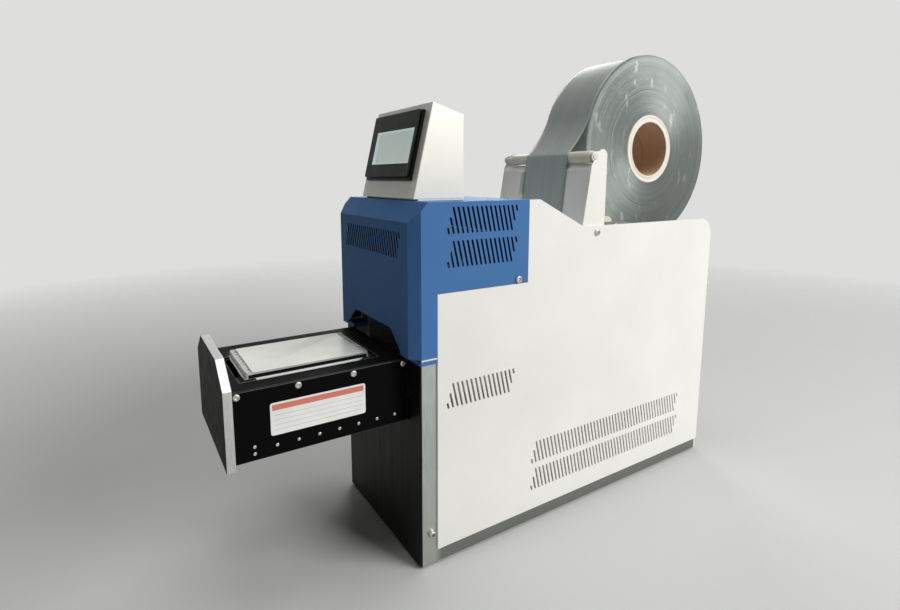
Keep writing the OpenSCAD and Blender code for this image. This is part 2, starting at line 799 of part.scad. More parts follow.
// Film feed and cutter
feed_half = film_w / 2 + 2;
module feed_roller() {
    motor_x = frame_x - motor_l;
    color(black) {
        bar_x(feed_r, -feed_half, feed_half, feed_y, feed_z);
        bar_x(shaft_r, feed_half - 1, frame_x + frame_t + 1, feed_y, feed_z);
        bar_x(shaft_r - 1, -motor_x - motor_l / 2, 1 - feed_half, feed_y, feed_z);
    }
}
module pinch_roller() {
    color(black) roller(pinch_r, feed_half, frame_x + frame_t + 1, feed_y, pinch_z);
}
module turn_roller() {
    color(white) roller(guide_r, feed_half, frame_x + frame_t + 1, turn_y, turn_z);
}
module feed_motor() {
    half = motor_w / 2;
    color(black) difference() {
        box([-frame_x, feed_y - half, feed_z - half], [-frame_x + motor_l, feed_y + half, feed_z + half]);
        bar_x(shaft_r - 1 + run_gap, -frame_x + motor_l / 2 - 2, -frame_x + motor_l + 1, feed_y, feed_z);
    }
}
cutter_h = 12;
module cutter_rail() {
    color(silver) box([-frame_x, cutter_y, cutter_z], [frame_x, cutter_y + cutter_t, cutter_z + cutter_h]);
}
carriage_w = 20;
carriage_x = -frame_x + 4;
module cutter_carriage() {
    wall = 3;
    blade_t = 0.8;
    blade_y = cutter_y + cutter_t / 2;
    x1 = carriage_x + carriage_w;
    color(steel) {
        difference() {
            box([carriage_x, cutter_y - wall, cutter_z - wall],
                [x1, cutter_y + cutter_t + wall, cutter_z + cutter_h + wall]);
            box([carriage_x - 1, cutter_y - block_gap, cutter_z - block_gap],
                [x1 + 1, cutter_y + cutter_t + block_gap, cutter_z + cutter_h + block_gap]);
        }
        box([carriage_x + 5, blade_y - blade_t / 2, film_z - 4],
            [x1 - 5, blade_y + blade_t / 2, cutter_z - wall + eps]);
    }
}

// Drawer guide, drawn fixed to the base
beam_y0 = front_y + 6;
beam_l = 94;
leg_x = 34;
leg_in = 10;
block_l = 32;
block_pitch = 37;
module slide_beam() {
    y1 = beam_y0 + beam_l;
    color(steel) {
        box([-beam_x, beam_y0, beam_z], [beam_x, y1, beam_z + beam_h]);
        box([-leg_x, beam_y0 + leg_in, base_t], [leg_x, y1 - leg_in, beam_z + eps]);
    }
}
module slide_blocks() {
    x1 = side_x - 2;
    color(silver) for (y0 = [beam_y0 + 2, beam_y0 + 2 + block_pitch]) both_sides() difference() {
        box([beam_x, y0, rail_z - rail_h / 2 - 4], [x1, y0 + block_l, rail_z + rail_h / 2 + 4]);
        box([side_x - rail_t - block_gap, y0 - 1, rail_z - rail_h / 2 - block_gap],
            [x1 + 1, y0 + block_l + 1, rail_z + rail_h / 2 + block_gap]);
    }
}
cylinder_z = drawer_z + 45;
cylinder_y0 = shut_end_y + 8;
cylinder_l = drawer_travel + 30;
cylinder_r = 13;
cylinder_bore = 10;
rod2_r = 4;
module drawer_cylinder() {
    y1 = cylinder_y0 + cylinder_l;
    color(silver) difference() {
        union() {
            bar_y(cylinder_r, cylinder_y0, y1, 0, cylinder_z);
            for (y = [cylinder_y0 + 14, y1 - 22]) box([-16, y, base_t], [16, y + 8, cylinder_z]);
        }
        bar_y(cylinder_bore, cylinder_y0 + 6, y1 - 6, 0, cylinder_z);
        bar_y(rod2_r + run_gap, cylinder_y0 - 1, cylinder_y0 + 7, 0, cylinder_z);
    }
}
module drawer_rod() {
    piston_l = 10;
    piston_y = cylinder_y0 + 8;
    color(silver) {
        bar_y(rod2_r, deck_end_y, piston_y + 1, 0, cylinder_z);
        bar_y(cylinder_bore - run_gap, piston_y, piston_y + piston_l, 0, cylinder_z);
    }
}

// Drawer
module drawer_side() {
    color(black) plate_yz(side_x, drawer_side_t) polygon([
        [door_back_y, drawer_z], [rail_end_y, drawer_z], [rail_end_y, deck_flange_bottom],
        [deck_end_y, deck_flange_bottom], [deck_end_y, drawer_top], [door_back_y, drawer_top]
    ]);
}
module drawer_left_side() mirror([1, 0, 0]) drawer_side();
module drawer_right_side() drawer_side();
nest_x = plate_w / 2 + plate_gap + nest_rim;
nest_y = plate_l / 2 + plate_gap + nest_rim;
module drawer_deck() {
    color(black) {
        difference() {
            box([-side_x, door_back_y, seat_z], [side_x, deck_end_y, drawer_top]);
            box([-nest_x - plate_gap, plate_y - nest_y - plate_gap, seat_z - 1],
                [nest_x + plate_gap, plate_y + nest_y + plate_gap, drawer_top + 1]);
        }
        box([-side_x, deck_end_y - sheet_t, deck_flange_bottom], [side_x, deck_end_y, seat_z + eps]);
    }
}
module front_plate() {
    color(black) plate_xz(door_back_y - door_t, door_t) polygon([
        [-door_x, door_z0], [door_x, door_z0], [door_x, door_shoulder_z], [door_x - door_cut, door_z1],
        [-door_x + door_cut, door_z1], [-door_x, door_shoulder_z]
    ]);
}
module plate_nest() {
    corner = 16;
    corner_top = seat_z + flange_h + 1.5;
    well_x = plate_w / 2 - 5;
    well_y = plate_l / 2 - 5;
    color(black) translate([0, plate_y, 0]) difference() {
        union() {
            box([-side_x, -nest_y - 1, seat_z - nest_t], [side_x, nest_y + 1, seat_z]);
            for (sx = [-1, 1], sy = [-1, 1]) mirror([sx < 0 ? 1 : 0, 0, 0]) mirror([0, sy < 0 ? 1 : 0, 0])
                box([nest_x - corner, nest_y - corner, seat_z - 1], [nest_x, nest_y, corner_top]);
        }
        box([-plate_w / 2 - plate_gap, -plate_l / 2 - plate_gap, seat_z],
            [plate_w / 2 + plate_gap, plate_l / 2 + plate_gap, plate_top]);
        box([-well_x, -well_y, seat_z - nest_t - 1], [well_x, well_y, seat_z + 1]);
    }
}
module plate_block(inset, z0, z1) {
    x = plate_w / 2 - inset[0];
    y = plate_l / 2 - inset[1];
    translate([0, plate_y, 0]) box([-x, -y, z0], [x, y, z1]);
}
module well_plate() {
    color(clear) {
        plate_block([0, 0], seat_z, seat_z + flange_h);
        plate_block([2, 1], seat_z + 1, plate_top);
        plate_block([6, 6], seat_z - well_h, seat_z + 1);
    }
}
seal_margin = [2, 7];
module plate_seal() {
    x = plate_w / 2 - seal_margin[0];
    y = plate_l / 2 - seal_margin[1];
    color([0.9, 0.9, 0.88]) translate([0, plate_y, 0]) box([-x, -y, plate_top], [x, y, plate_top + seal_t]);
}
module drawer_rails() {
    color(silver) both_sides()
        box([side_x - rail_t, door_back_y + 10, rail_z - rail_h / 2],
            [side_x, rail_end_y, rail_z + rail_h / 2]);
}
module screw_head(r, h) {
    rotate([0, 90, 0]) rotate_extrude() polygon([[0, 0], [r, 0], [r, h * 0.4], [r * 0.6, h], [0, h]]);
}
module drawer_screws() {
    large_pitch = (drawer_travel - 10) / 3;
    small_pitch = 20.2;
    pair_half = 3.3;
    color(silver) both_sides() {
        for (k = [0 : 3]) translate([drawer_w / 2, door_back_y + 3.7 + k * large_pitch, drawer_top - 4])
            screw_head(3.2, screw_head_t);
        for (k = [1 : 7]) translate([drawer_w / 2, door_back_y + 17 + k * small_pitch, rail_z])
            screw_head(1.7, screw_head_t);
        for (dz = [-pair_half, pair_half]) translate([drawer_w / 2, door_back_y + 17, rail_z + dz])
            screw_head(1.7, screw_head_t);
    }
}

// Rear and inner units
module fan_frame() {
    depth = 25;
    half = fan_size / 2;
    y0 = rear_y - sheet_t - depth;
    color(black) difference() {
        box([fan_x - half, y0, fan_z - half], [fan_x + half, y0 + depth, fan_z + half]);
        difference() {
            bar_y(fan_hole_r, y0 - 1, y0 + depth + 1, fan_x, fan_z);
            for (a = [0, 90]) translate([fan_x, y0, fan_z]) rotate([0, a, 0])
                translate([-half, 0, -3]) cube([fan_size, 4, 6]);
            bar_y(12, y0, y0 + 4, fan_x, fan_z);
        }
        bar_y(fan_pin_r + run_gap, y0 - 1, y0 + 5, fan_x, fan_z);
    }
}
module fan_rotor() {
    y0 = rear_y - sheet_t - 20;
    depth = 15;
    hub_r = 16;
    blades = 7;
    blade = [fan_hole_r - hub_r - 1, 1.8, 16];
    color(black) {
        bar_y(hub_r, y0, y0 + depth, fan_x, fan_z);
        bar_y(fan_pin_r, y0 - 4, y0 + 1, fan_x, fan_z);
        for (k = [0 : blades - 1]) translate([fan_x, y0 + depth / 2, fan_z]) rotate([40, k * 360 / blades, 0])
            translate([hub_r - 1, -blade[1] / 2, -blade[2] / 2]) cube(blade);
    }
}
supply_w = 58;
supply_l = 150;
supply_h = 42;
supply_gap = 10;
module power_supply() {
    x0 = inner_x - supply_gap - supply_w;
    y0 = frame_y1 + supply_gap;
    terminal_l = 12;
    terminal_z = base_t + 18;
    wall = 4;
    color(silver) difference() {
        box([x0, y0, base_t], [x0 + supply_w, y0 + supply_l, base_t + supply_h]);
        box([x0 + wall, y0 - 1, terminal_z], [x0 + supply_w - wall, y0 + terminal_l, base_t + supply_h + 1]);
    }
}
board_l = 140;
board_h = 110;
board_z = long_vent_z + slot_h + row_pitch + 10;
board_t = 1.6;
board_gap = 8;
chip_l = 16;
chip_h = 20;
chip_pitch = 28;
module control_board() {
    x0 = -inner_x + board_gap;
    x1 = x0 + board_t;
    chip_z = board_z + 30;
    plug_z = board_z + 85;
    color([0.1, 0.35, 0.2]) translate([0, frame_y1, 0]) {
        box([x0, 0, board_z], [x1, board_l, board_z + board_h]);
        for (y = [board_gap, board_l - board_gap], z = [board_z + board_gap, board_z + board_h - board_gap])
            bar_x(3, -inner_x, x0 + eps, y, z);
        for (k = [0 : 3]) translate([0, 20 + k * chip_pitch, chip_z])
            box([x1 - eps, 0, 0], [x1 + 4.4, chip_l, chip_h]);
        box([x1 - eps, 20, plug_z], [x1 + 12.4, board_l - 20, plug_z + 12]);
    }
}
rocker_w = 15;
rocker_h = 13;
rocker_z = inlet_z + 14;
socket_w = 22;
socket_h = 15;
socket_z = inlet_z - 9;
module mains_inlet() {
    depth = 24;
    flange = 2.5;
    color(black) difference() {
        union() {
            box([inlet_x - inlet_w / 2 + 0.2, rear_y - depth, inlet_z - inlet_h / 2 + 0.2],
                [inlet_x + inlet_w / 2 - 0.2, rear_y + eps, inlet_z + inlet_h / 2 - 0.2]);
            box([inlet_x - inlet_w / 2 - 3, rear_y, inlet_z - inlet_h / 2 - 3],
                [inlet_x + inlet_w / 2 + 3, rear_y + flange, inlet_z + inlet_h / 2 + 3]);
        }
        box([inlet_x - socket_w / 2, rear_y - 16, socket_z - socket_h / 2],
            [inlet_x + socket_w / 2, rear_y + flange + 1, socket_z + socket_h / 2]);
        box([inlet_x - rocker_w / 2 - 0.5, rear_y - 14, rocker_z - rocker_h / 2 - 0.8],
            [inlet_x + rocker_w / 2 + 0.5, rear_y + flange + 1, rocker_z + rocker_h / 2 + 0.8]);
        rocker_pin(rocker_pin_r + run_gap, rocker_pin_half + 0.3);
    }
}
rocker_pivot_y = rear_y - 4;
rocker_rest = 8;
rocker_pin_r = 1.2;
rocker_pin_half = rocker_w / 2 + 2;
module rocker_pin(r, half) {
    bar_x(r, inlet_x - half, inlet_x + half, rocker_pivot_y, rocker_z);
}
module power_rocker() {
    color(black) {
        translate([inlet_x, rocker_pivot_y, rocker_z]) rotate([rocker_rest, 0, 0])
            plate_yz(-rocker_w / 2, rocker_w) polygon([
                [-3, -2.5], [-3, 2.5], [6, rocker_h / 2 - 0.6], [4.6, 0], [6, -rocker_h / 2 + 0.6]
            ]);
        rocker_pin(rocker_pin_r, rocker_pin_half);
    }
}
tube_r = 3;
module air_fitting() {
    reach = 16;
    color(silver) difference() {
        union() {
            bar_y(fitting_r - 0.1, rear_y - 14, rear_y + eps, fitting_x, fitting_z);
            bar_y(fitting_r + 2, rear_y, rear_y + reach - 4, fitting_x, fitting_z);
            bar_y(fitting_r, rear_y + reach - 5, rear_y + reach, fitting_x, fitting_z);
        }
        bar_y(tube_r, rear_y + 2, rear_y + reach + 1, fitting_x, fitting_z);
    }
}
module panel_screws() {
    head_r = 4.2;
    head_t = 2.4;
    color(silver) both_sides() {
        translate([wall_x, front_y + 13, 36]) screw_head(head_r, head_t + sheet_t);
        translate([skin_x, cover_y1 - 13.5, step_z + 5]) screw_head(head_r, head_t);
        translate([skin_x, front_y + 249, rear_top_z - 8]) screw_head(head_r, head_t);
    }
}

base_plate();
rubber_feet();
chassis_left();
chassis_right();
column_front();
rear_panel();
left_side_panel();
right_side_panel();
cover_ledge();
top_cover();
rear_deck();
cradle_brackets();
display_gasket();
display_housing();
display_bezel();
display_screen();
film_tower();
film_edge_guide();
film_web();
press_frame_left();
press_frame_right();
press_bridge();
press_cylinder();
slide_beam();
slide_blocks();
drawer_cylinder();
cutter_rail();
feed_motor();
fan_frame();
power_supply();
control_board();
mains_inlet();
air_fitting();
panel_screws();
drawer_left_side();
drawer_right_side();
drawer_deck();
front_plate();
plate_nest();
well_plate();
plate_seal();
drawer_rails();
drawer_screws();
drawer_rod();
heater_platen();
insulator_plate();
press_plate();
press_posts();
press_rod();
film_roll();
roll_core();
support_roller_front();
support_roller_rear();
guide_roller();
turn_roller();
feed_roller();
pinch_roller();
cutter_carriage();
fan_rotor();
power_rocker();
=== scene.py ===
"""Looks of the film sealing machine: materials for the CAD pieces and detailed pieces around them."""

import json
import math
import random

import bmesh
import bpy
from mathutils import Matrix, Vector
from mathutils.bvhtree import BVHTree
from mathutils.geometry import interpolate_bezier


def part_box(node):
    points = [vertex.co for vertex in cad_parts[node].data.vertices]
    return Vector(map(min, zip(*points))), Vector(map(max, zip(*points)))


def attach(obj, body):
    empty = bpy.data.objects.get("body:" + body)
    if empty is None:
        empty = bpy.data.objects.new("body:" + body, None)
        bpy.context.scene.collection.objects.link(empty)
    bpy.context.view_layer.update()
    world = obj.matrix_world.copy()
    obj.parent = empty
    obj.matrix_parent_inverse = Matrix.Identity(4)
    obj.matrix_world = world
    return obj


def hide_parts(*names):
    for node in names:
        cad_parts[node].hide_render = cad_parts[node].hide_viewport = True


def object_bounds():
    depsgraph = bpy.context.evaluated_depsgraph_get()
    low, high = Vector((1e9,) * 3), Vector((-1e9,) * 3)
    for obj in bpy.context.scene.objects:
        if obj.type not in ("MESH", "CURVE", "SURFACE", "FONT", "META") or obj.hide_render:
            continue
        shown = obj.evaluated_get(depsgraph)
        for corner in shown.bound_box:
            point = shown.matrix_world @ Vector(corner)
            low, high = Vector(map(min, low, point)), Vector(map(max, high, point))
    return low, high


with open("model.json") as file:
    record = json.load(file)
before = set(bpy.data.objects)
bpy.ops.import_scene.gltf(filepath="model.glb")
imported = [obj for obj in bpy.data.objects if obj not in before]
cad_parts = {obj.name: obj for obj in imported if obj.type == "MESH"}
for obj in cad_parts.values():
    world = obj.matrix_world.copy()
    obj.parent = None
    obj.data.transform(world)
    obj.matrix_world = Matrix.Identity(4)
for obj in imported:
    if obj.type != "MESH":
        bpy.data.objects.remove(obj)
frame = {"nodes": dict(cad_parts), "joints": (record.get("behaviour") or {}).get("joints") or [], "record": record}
cad_low, cad_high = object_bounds()

NODES = frame["nodes"]
SLOTS = {part["node"]: part["material_slot"] for part in frame["record"]["subparts"]}
JOINTS = {joint["name"]: joint for joint in frame["joints"]}
MM = 0.001
ACROSS, BACK = Vector((1, 0, 0)), Vector((0, 1, 0))
SCENE = bpy.context.scene


def box_mm(name):
    """Low and high corner of a node's box, in mm."""
    low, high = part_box(name)
    return low / MM, high / MM


def radius_mm(name):
    """Radius of a round node that lies along X, in mm."""
    low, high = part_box(name)
    return (high.z - low.z) / 2 / MM


# Camera, solved from the machine's edges in the photograph: metres, degrees, mm and shares of the frame
CAMERA_PLACE = (0.5426, -0.4977, 0.4141)
CAMERA_YAW, CAMERA_PITCH = 57.94, -8.25
CAMERA_LENS, CAMERA_SENSOR = 21.11, 36.0
CAMERA_SHIFT = (0.0083, -0.0556)
CAMERA_CLIP = 0.01


def make_camera():
    data = bpy.data.cameras.new("camera")
    data.sensor_width = CAMERA_SENSOR
    data.lens = CAMERA_LENS
    data.shift_x, data.shift_y = CAMERA_SHIFT
    data.clip_start = CAMERA_CLIP
    camera = bpy.data.objects.new("camera", data)
    camera.location = CAMERA_PLACE
    camera.rotation_euler = (math.radians(90 + CAMERA_PITCH), 0, math.radians(CAMERA_YAW))
    SCENE.collection.objects.link(camera)
    SCENE.camera = camera


make_camera()


# Materials

def linear(code):
    """Linear RGBA of a hex colour."""
    parts = [int(code[k:k + 2], 16) / 255 for k in (1, 3, 5)]
    return [c / 12.92 if c <= 0.04045 else ((c + 0.055) / 1.055) ** 2.4 for c in parts] + [1.0]


def scaled(colour, factor):
    return [min(1.0, c * factor) for c in colour[:3]] + [1.0]


class Surface:
    """A procedural material in the making, in metres of the object's own frame."""

    def __init__(self, name, **sockets):
        self.material = bpy.data.materials.new(name)
        self.material.use_nodes = True
        self.tree = self.material.node_tree
        self.shader = self.tree.nodes["Principled BSDF"]
        for key, value in sockets.items():
            self.shader.inputs[key.replace("_", " ")].default_value = value
        self.place = self.node("ShaderNodeTexCoord").outputs["Object"]

    def link(self, value, socket):
        """Feeds a socket from another one, or sets it."""
        if hasattr(value, "is_linked"):
            self.tree.links.new(value, socket)
        else:
            socket.default_value = value

    def node(self, kind, settings=(), **sockets):
        made = self.tree.nodes.new(kind)
        for key, value in dict(settings).items():
            setattr(made, key, value)
        for key, value in sockets.items():
            self.link(value, made.inputs[key.replace("_", " ")])
        return made

    def coords(self):
        """X, Y and Z of the place."""
        return self.node("ShaderNodeSeparateXYZ", Vector=self.place).outputs

    def noise(self, scale, detail=2.0, stretch=(1, 1, 1)):
        """Noise with scale features to the metre, stretched along the axes."""
        mapped = self.node("ShaderNodeMapping", Vector=self.place, Scale=stretch)
        return self.node(
            "ShaderNodeTexNoise", Vector=mapped.outputs[0], Scale=scale, Detail=detail
        ).outputs[0]

    def rings(self, radius, scale, detail):
        """Noise along a radius, so that it lies in rings."""
        return self.node(
            "ShaderNodeTexNoise", {"noise_dimensions": "1D"}, W=radius, Scale=scale, Detail=detail
        ).outputs[0]

    def spread(self, value, low, high, start=0.3, end=0.7):
        """A value moved from start..end to low..high."""
        return self.node(
            "ShaderNodeMapRange", Value=value, From_Min=start, From_Max=end, To_Min=low, To_Max=high
        ).outputs[0]

    def math(self, operation, a, b=0.0):
        made = self.node("ShaderNodeMath", {"operation": operation})
        self.link(a, made.inputs[0])
        self.link(b, made.inputs[1])
        return made.outputs[0]

    def distance(self, a, b):
        """Length of a vector with two parts."""
        squares = self.math("MULTIPLY", a, a), self.math("MULTIPLY", b, b)
        return self.math("SQRT", self.math("ADD", *squares))

    def around_x(self, centre):
        """Distance from an axis along X, the angle about it, and the place along it."""
        x, y, z = self.coords()
        y, z = self.math("SUBTRACT", y, centre.y), self.math("SUBTRACT", z, centre.z)
        return self.distance(y, z), self.math("ARCTAN2", z, y), x

    def mix(self, factor, a, b):
        made = self.node("ShaderNodeMix", {"data_type": "RGBA"})
        sockets = {s.identifier: s for s in made.inputs}
        self.link(factor, sockets["Factor_Float"])
        self.link(a, sockets["A_Color"])
        self.link(b, sockets["B_Color"])
        return next(s for s in made.outputs if s.identifier == "Result_Color")

    def shades(self, value, colour, dark, light):
        """A colour that a noise moves from its dark to its light shade."""
        return self.mix(self.spread(value, 0, 1), scaled(colour, dark), scaled(colour, light))

    def use(self, socket, value):
        self.tree.links.new(value, self.shader.inputs[socket])

    def bump(self, height, depth):
        self.use("Normal", self.node("ShaderNodeBump", Height=height, Distance=depth).outputs[0])

    def tint(self, code, scale, amount):
        """Base colour that drifts by amount either way."""
        self.use("Base Color", self.shades(self.noise(scale, 3.0), linear(code), 1 - amount, 1 + amount))


def paint(name, code, rough=(0.38, 0.5), gloss=0.45, peel=0.02, **sockets):
    """Powder coat: faint mottling, and orange peel of a depth in mm."""
    made = Surface(name, Specular_IOR_Level=gloss, **sockets)
    made.tint(code, scale=9, amount=0.035)
    made.use("Roughness", made.spread(made.noise(scale=70), *rough))
    made.bump(made.noise(scale=700, detail=3.0), peel * MM)
    return made.material


def plastic(name, code, rough=(0.4, 0.55), grain=1200, depth=0.015, **sockets):
    """Moulded plastic with a fine grain of a depth in mm."""
    made = Surface(name, **sockets)
    made.tint(code, scale=30, amount=0.06)
    made.use("Roughness", made.spread(made.noise(scale=90), *rough))
    made.bump(made.noise(grain), depth * MM)
    return made.material


# Drawn metal: its stretch along Y or Z, features to the metre, and shades of its colour
ALONG_Y, ALONG_Z = (1, 0.03, 1), (1, 1, 0.03)
GRAIN, STREAKS, CLOUDS = 1800, 300, 22
GRAIN_SHADES = (0.84, 1.1)
CLOUD_SHADE, CLOUD_SHARE = 0.8, 0.35
DRAWN_ROUGH = (0.28, 0.45)


def brushed(name, code, stretch, rough=DRAWN_ROUGH, metallic=1.0):
    """Metal drawn along one axis, with cloudy handling marks."""
    made = Surface(name, Metallic=metallic)
    grain = made.noise(GRAIN, 4.0, stretch)
    cloud = made.spread(made.noise(CLOUDS, 3.0), 0.0, CLOUD_SHARE)
    colour = linear(code)
    drawn = made.shades(grain, colour, *GRAIN_SHADES)
    made.use("Base Color", made.mix(cloud, drawn, scaled(colour, CLOUD_SHADE)))
    made.use("Roughness", made.spread(made.noise(STREAKS, 3.0, stretch), *rough))
    made.bump(grain, 0.01 * MM)
    return made.material


def wall_steel():
    """Steel of the chassis walls: drawn upright in front, and lengthwise and darker along the foot."""
    made = Surface("brushed_steel", Metallic=1.0)
    panel_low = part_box("right_side_panel")[0]
    _, y, z = made.coords()
    below = made.spread(z, 1.0, 0.0, panel_low.z, panel_low.z + MM)
    behind = made.spread(y, 0.0, 1.0, panel_low.y - 2 * MM, panel_low.y + 6 * MM)
    foot = made.math("MULTIPLY", below, behind)
    upright, lengthwise = made.noise(GRAIN, 4.0, ALONG_Z), made.noise(GRAIN, 4.0, ALONG_Y)
    grain = made.spread(made.mix(foot, upright, lengthwise), 0, 1)
    colour, dark = linear("#bfc2be"), linear("#8b8e8a")
    low, high = (made.mix(foot, scaled(colour, shade), scaled(dark, shade)) for shade in GRAIN_SHADES)
    cloud = made.spread(made.noise(CLOUDS, 3.0), 0.0, CLOUD_SHARE)
    made.use("Base Color", made.mix(cloud, made.mix(grain, low, high), low))
    made.use("Roughness", made.spread(made.noise(STREAKS, 3.0, (1, 0.2, 0.2)), *DRAWN_ROUGH))
    made.bump(grain, 0.004 * MM)
    return made.material


REEL = Vector(JOINTS["film_reel_spin"]["pos_m"])
SPIRAL_TURNS = 22


def wound_film():
    """The side of a wound roll: fine rings whose sheen runs in bands out from the core, and scuffs."""
    made = Surface("wound_film", Metallic=0.65, Anisotropic=0.75)
    radius = made.around_x(REEL)[0]
    fine = made.rings(radius, scale=1500, detail=4.0)
    broad = made.rings(radius, scale=110, detail=3.0)
    colour = linear("#737976")
    tone = made.shades(broad, colour, 0.84, 1.1)
    wound = made.mix(made.spread(fine, 0, 0.5), tone, scaled(colour, 0.84))
    scuffs = made.spread(made.noise(80, 6.0, (1, 1, 0.5)), 0.0, 0.3, 0.62, 0.72)
    made.use("Base Color", made.mix(scuffs, wound, linear("#d3d8d6")))
    made.use("Roughness", made.spread(made.noise(25, 3.0), 0.3, 0.46))
    tangent = made.node("ShaderNodeTangent", {"direction_type": "RADIAL", "axis": "X"})
    made.use("Tangent", tangent.outputs[0])
    made.bump(fine, 0.05 * MM)
    return made.material


def film_skin():
    """Film: satin, with faint lengthwise bands and soft waves across it."""
    made = Surface("film_skin", Specular_IOR_Level=0.3)
    bands = made.noise(160, 3.0, (1, 0.02, 0.02))
    made.use("Base Color", made.shades(bands, linear("#a6ada9"), 0.94, 1.06))
    made.use("Roughness", made.spread(made.noise(12, 0.0), 0.27, 0.33))
    made.bump(made.noise(14, 0.0, (0.2, 1, 1)), 1.5 * MM)
    return made.material


def kraft_tube():
    """Card wound in a spiral with so many turns to the metre, seen inside the core."""
    made = Surface("kraft_tube")
    _, angle, x = made.around_x(REEL)
    around = made.math("DIVIDE", angle, 2 * math.pi)
    turns = made.math("ADD", around, made.math("MULTIPLY", x, SPIRAL_TURNS))
    seam = made.math("PINGPONG", turns, 0.5)
    colour = linear("#c4a68a")
    fibre = made.shades(made.noise(900, 4.0), colour, 0.86, 1.12)
    dark = made.spread(seam, 1.0, 0.0, 0.0, 0.02)
    made.use("Base Color", made.mix(dark, fibre, scaled(colour, 0.55)))
    made.use("Roughness", made.spread(made.noise(200), 0.65, 0.85))
    made.bump(made.noise(700, 3.0), 0.05 * MM)
    return made.material


WHITE = paint("white_powder_coat", "#efeee8")
CREAM = paint("cream_gloss_coat", "#efece0", (0.34, 0.42), 0.6, 0.004, Coat_Weight=0.7, Coat_Roughness=0.3)
BLUE = paint("blue_powder_coat", "#4c78ae", (0.42, 0.55), 0.04)
# The cover's inside: the same blue paint, darkened as painted shade.
BLUE_INSIDE_SHADE = paint("blue_inside_painted_shade", "#182436", (0.5, 0.65), 0.04)
# The cover's bevelled edges: a lighter blue, as a painted highlight.
BLUE_EDGE_HIGHLIGHT = paint("blue_edge_painted_highlight", "#6f99cd", (0.36, 0.48), 0.3)
ANODISED = paint("black_anodised", "#0c0d0c", (0.42, 0.55), 0.02, 0.01)
# Edges of black anodised parts: a lighter grey, as a painted highlight.
BLACK_EDGE_HIGHLIGHT = paint("black_edge_painted_highlight", "#4a4b4a", (0.4, 0.5), 0.3, 0.01)
FRONT = paint("satin_front", "#161716", (0.4, 0.52), 0.02, 0.01)
WALL_STEEL = wall_steel()
ROLLED_STEEL = brushed("rolled_steel", "#a1a4a0", ALONG_Y)
# Column front: the walls' bare steel, darkened as painted shade.
STEEL_FRONT_SHADE = brushed("brushed_front_painted_shade", "#131312", ALONG_Z, (0.45, 0.53), 0.8)
ALUMINIUM = brushed("machined_aluminium", "#c3c5c6", (1, 0.05, 1), (0.25, 0.4))
BARE_EDGE = brushed("bare_edge", "#cfd0ce", (0.05, 1, 0.05), (0.38, 0.52), 0.7)
BRIGHT = brushed("bright_steel", "#c9c8c4", (1, 1, 1), (0.2, 0.34))
BRASS = brushed("tinned_brass", "#c9b98a", (1, 0.1, 1), (0.2, 0.3))
BLACK_PLASTIC = plastic("black_plastic", "#1d1f1d", (0.42, 0.56), Specular_IOR_Level=0.3)
BEZEL = plastic("bezel_plastic", "#282d28", (0.34, 0.46), 900, 0.01, Specular_IOR_Level=0.08)
# The display frame's groove: near black, as painted shade.
BEZEL_GROOVE_SHADE = plastic("display_groove_painted_shade", "#050605", (0.6, 0.75), Specular_IOR_Level=0.1)
# The window's walls: pale and glowing, as a painted highlight.
BEZEL_WALL_GLOW = plastic(
    "display_wall_painted_glow", "#dbe6e8", (0.4, 0.5), Emission_Color=linear("#dbe6e8"), Emission_Strength=0.3
)
SCREEN = plastic(
    "display_glass", "#b7c4bd", (0.1, 0.18), 400, 0.002,
    Emission_Color=linear("#b7c4bd"), Emission_Strength=0.42,
)
RUBBER = plastic("black_rubber", "#191919", (0.65, 0.8), 900, 0.03, Specular_IOR_Level=0.25)
CREAM_PLASTIC = plastic("cream_plastic", "#dedacc", (0.32, 0.46))
BOARD = plastic("insulating_board", "#c2b48c", (0.7, 0.85), 500, 0.05)
CIRCUIT = plastic("solder_mask", "#1f5a34", (0.25, 0.4))
CLEAR = plastic("clear_plastic", "#e9edea", (0.28, 0.4), 300, 0.005, Transmission_Weight=0.35, IOR=1.49)
# The plate's flange: near white, as a painted highlight.
FLANGE_HIGHLIGHT = plastic("flange_painted_highlight", "#eceeea", (0.35, 0.5), 800, 0.02)
# Long walls of the clear plate: dark for the black nest behind them and as painted shade.
SHADED_WALL = plastic("clear_wall_over_black_painted_shade", "#161816", (0.1, 0.2), 300, 0.005, Specular_IOR_Level=0.3)
SEAL = plastic("sealed_film", "#e6e7de", (0.3, 0.42), 120, 0.03)
CARD_RIM = plastic("card_rim", "#ebe5d7", (0.6, 0.75), 700, 0.05)
LABEL = plastic("label_stock", "#f1f1ee", (0.35, 0.45), 600, 0.005)
LABEL_BAND = plastic("label_band", "#d97f67", (0.35, 0.45), 600, 0.005)
LABEL_LINE = plastic("label_line", "#a9adab", (0.4, 0.5), 600, 0.005)
COLLAR = plastic("blue_collar", "#2d5d9c", (0.3, 0.4))
FOAM = plastic("seal_foam", "#e9e9e4", (0.6, 0.75), 900, 0.06)
WOUND = wound_film()
FILM = film_skin()
KRAFT = kraft_tube()

SLOT_LOOKS = {
    "white_paint": WHITE, "blue_paint": BLUE, "bare_steel": ROLLED_STEEL, "dark_paint": STEEL_FRONT_SHADE,
    "black_anodised": ANODISED, "aluminium": ALUMINIUM, "bright_steel": BRIGHT,
    "black_plastic": BLACK_PLASTIC, "rubber": RUBBER, "white_plastic": CREAM_PLASTIC, "film": FILM,
    "card": KRAFT, "clear_plastic": CLEAR, "screen": SCREEN, "circuit_board": CIRCUIT,
    "insulating_board": BOARD,
}


# Mesh helpers: vertices that count as one, in metres, and angles of one plane and of a sharp edge
BUILT_POINT, NODE_POINT = 1e-7, 1e-6
SAME_PLANE = math.radians(0.5)
SHARP = math.radians(35)
# Steps in a round corner, and the caps of a stack that is open at both ends
CORNER_STEPS = 4
OPEN = (False, False)


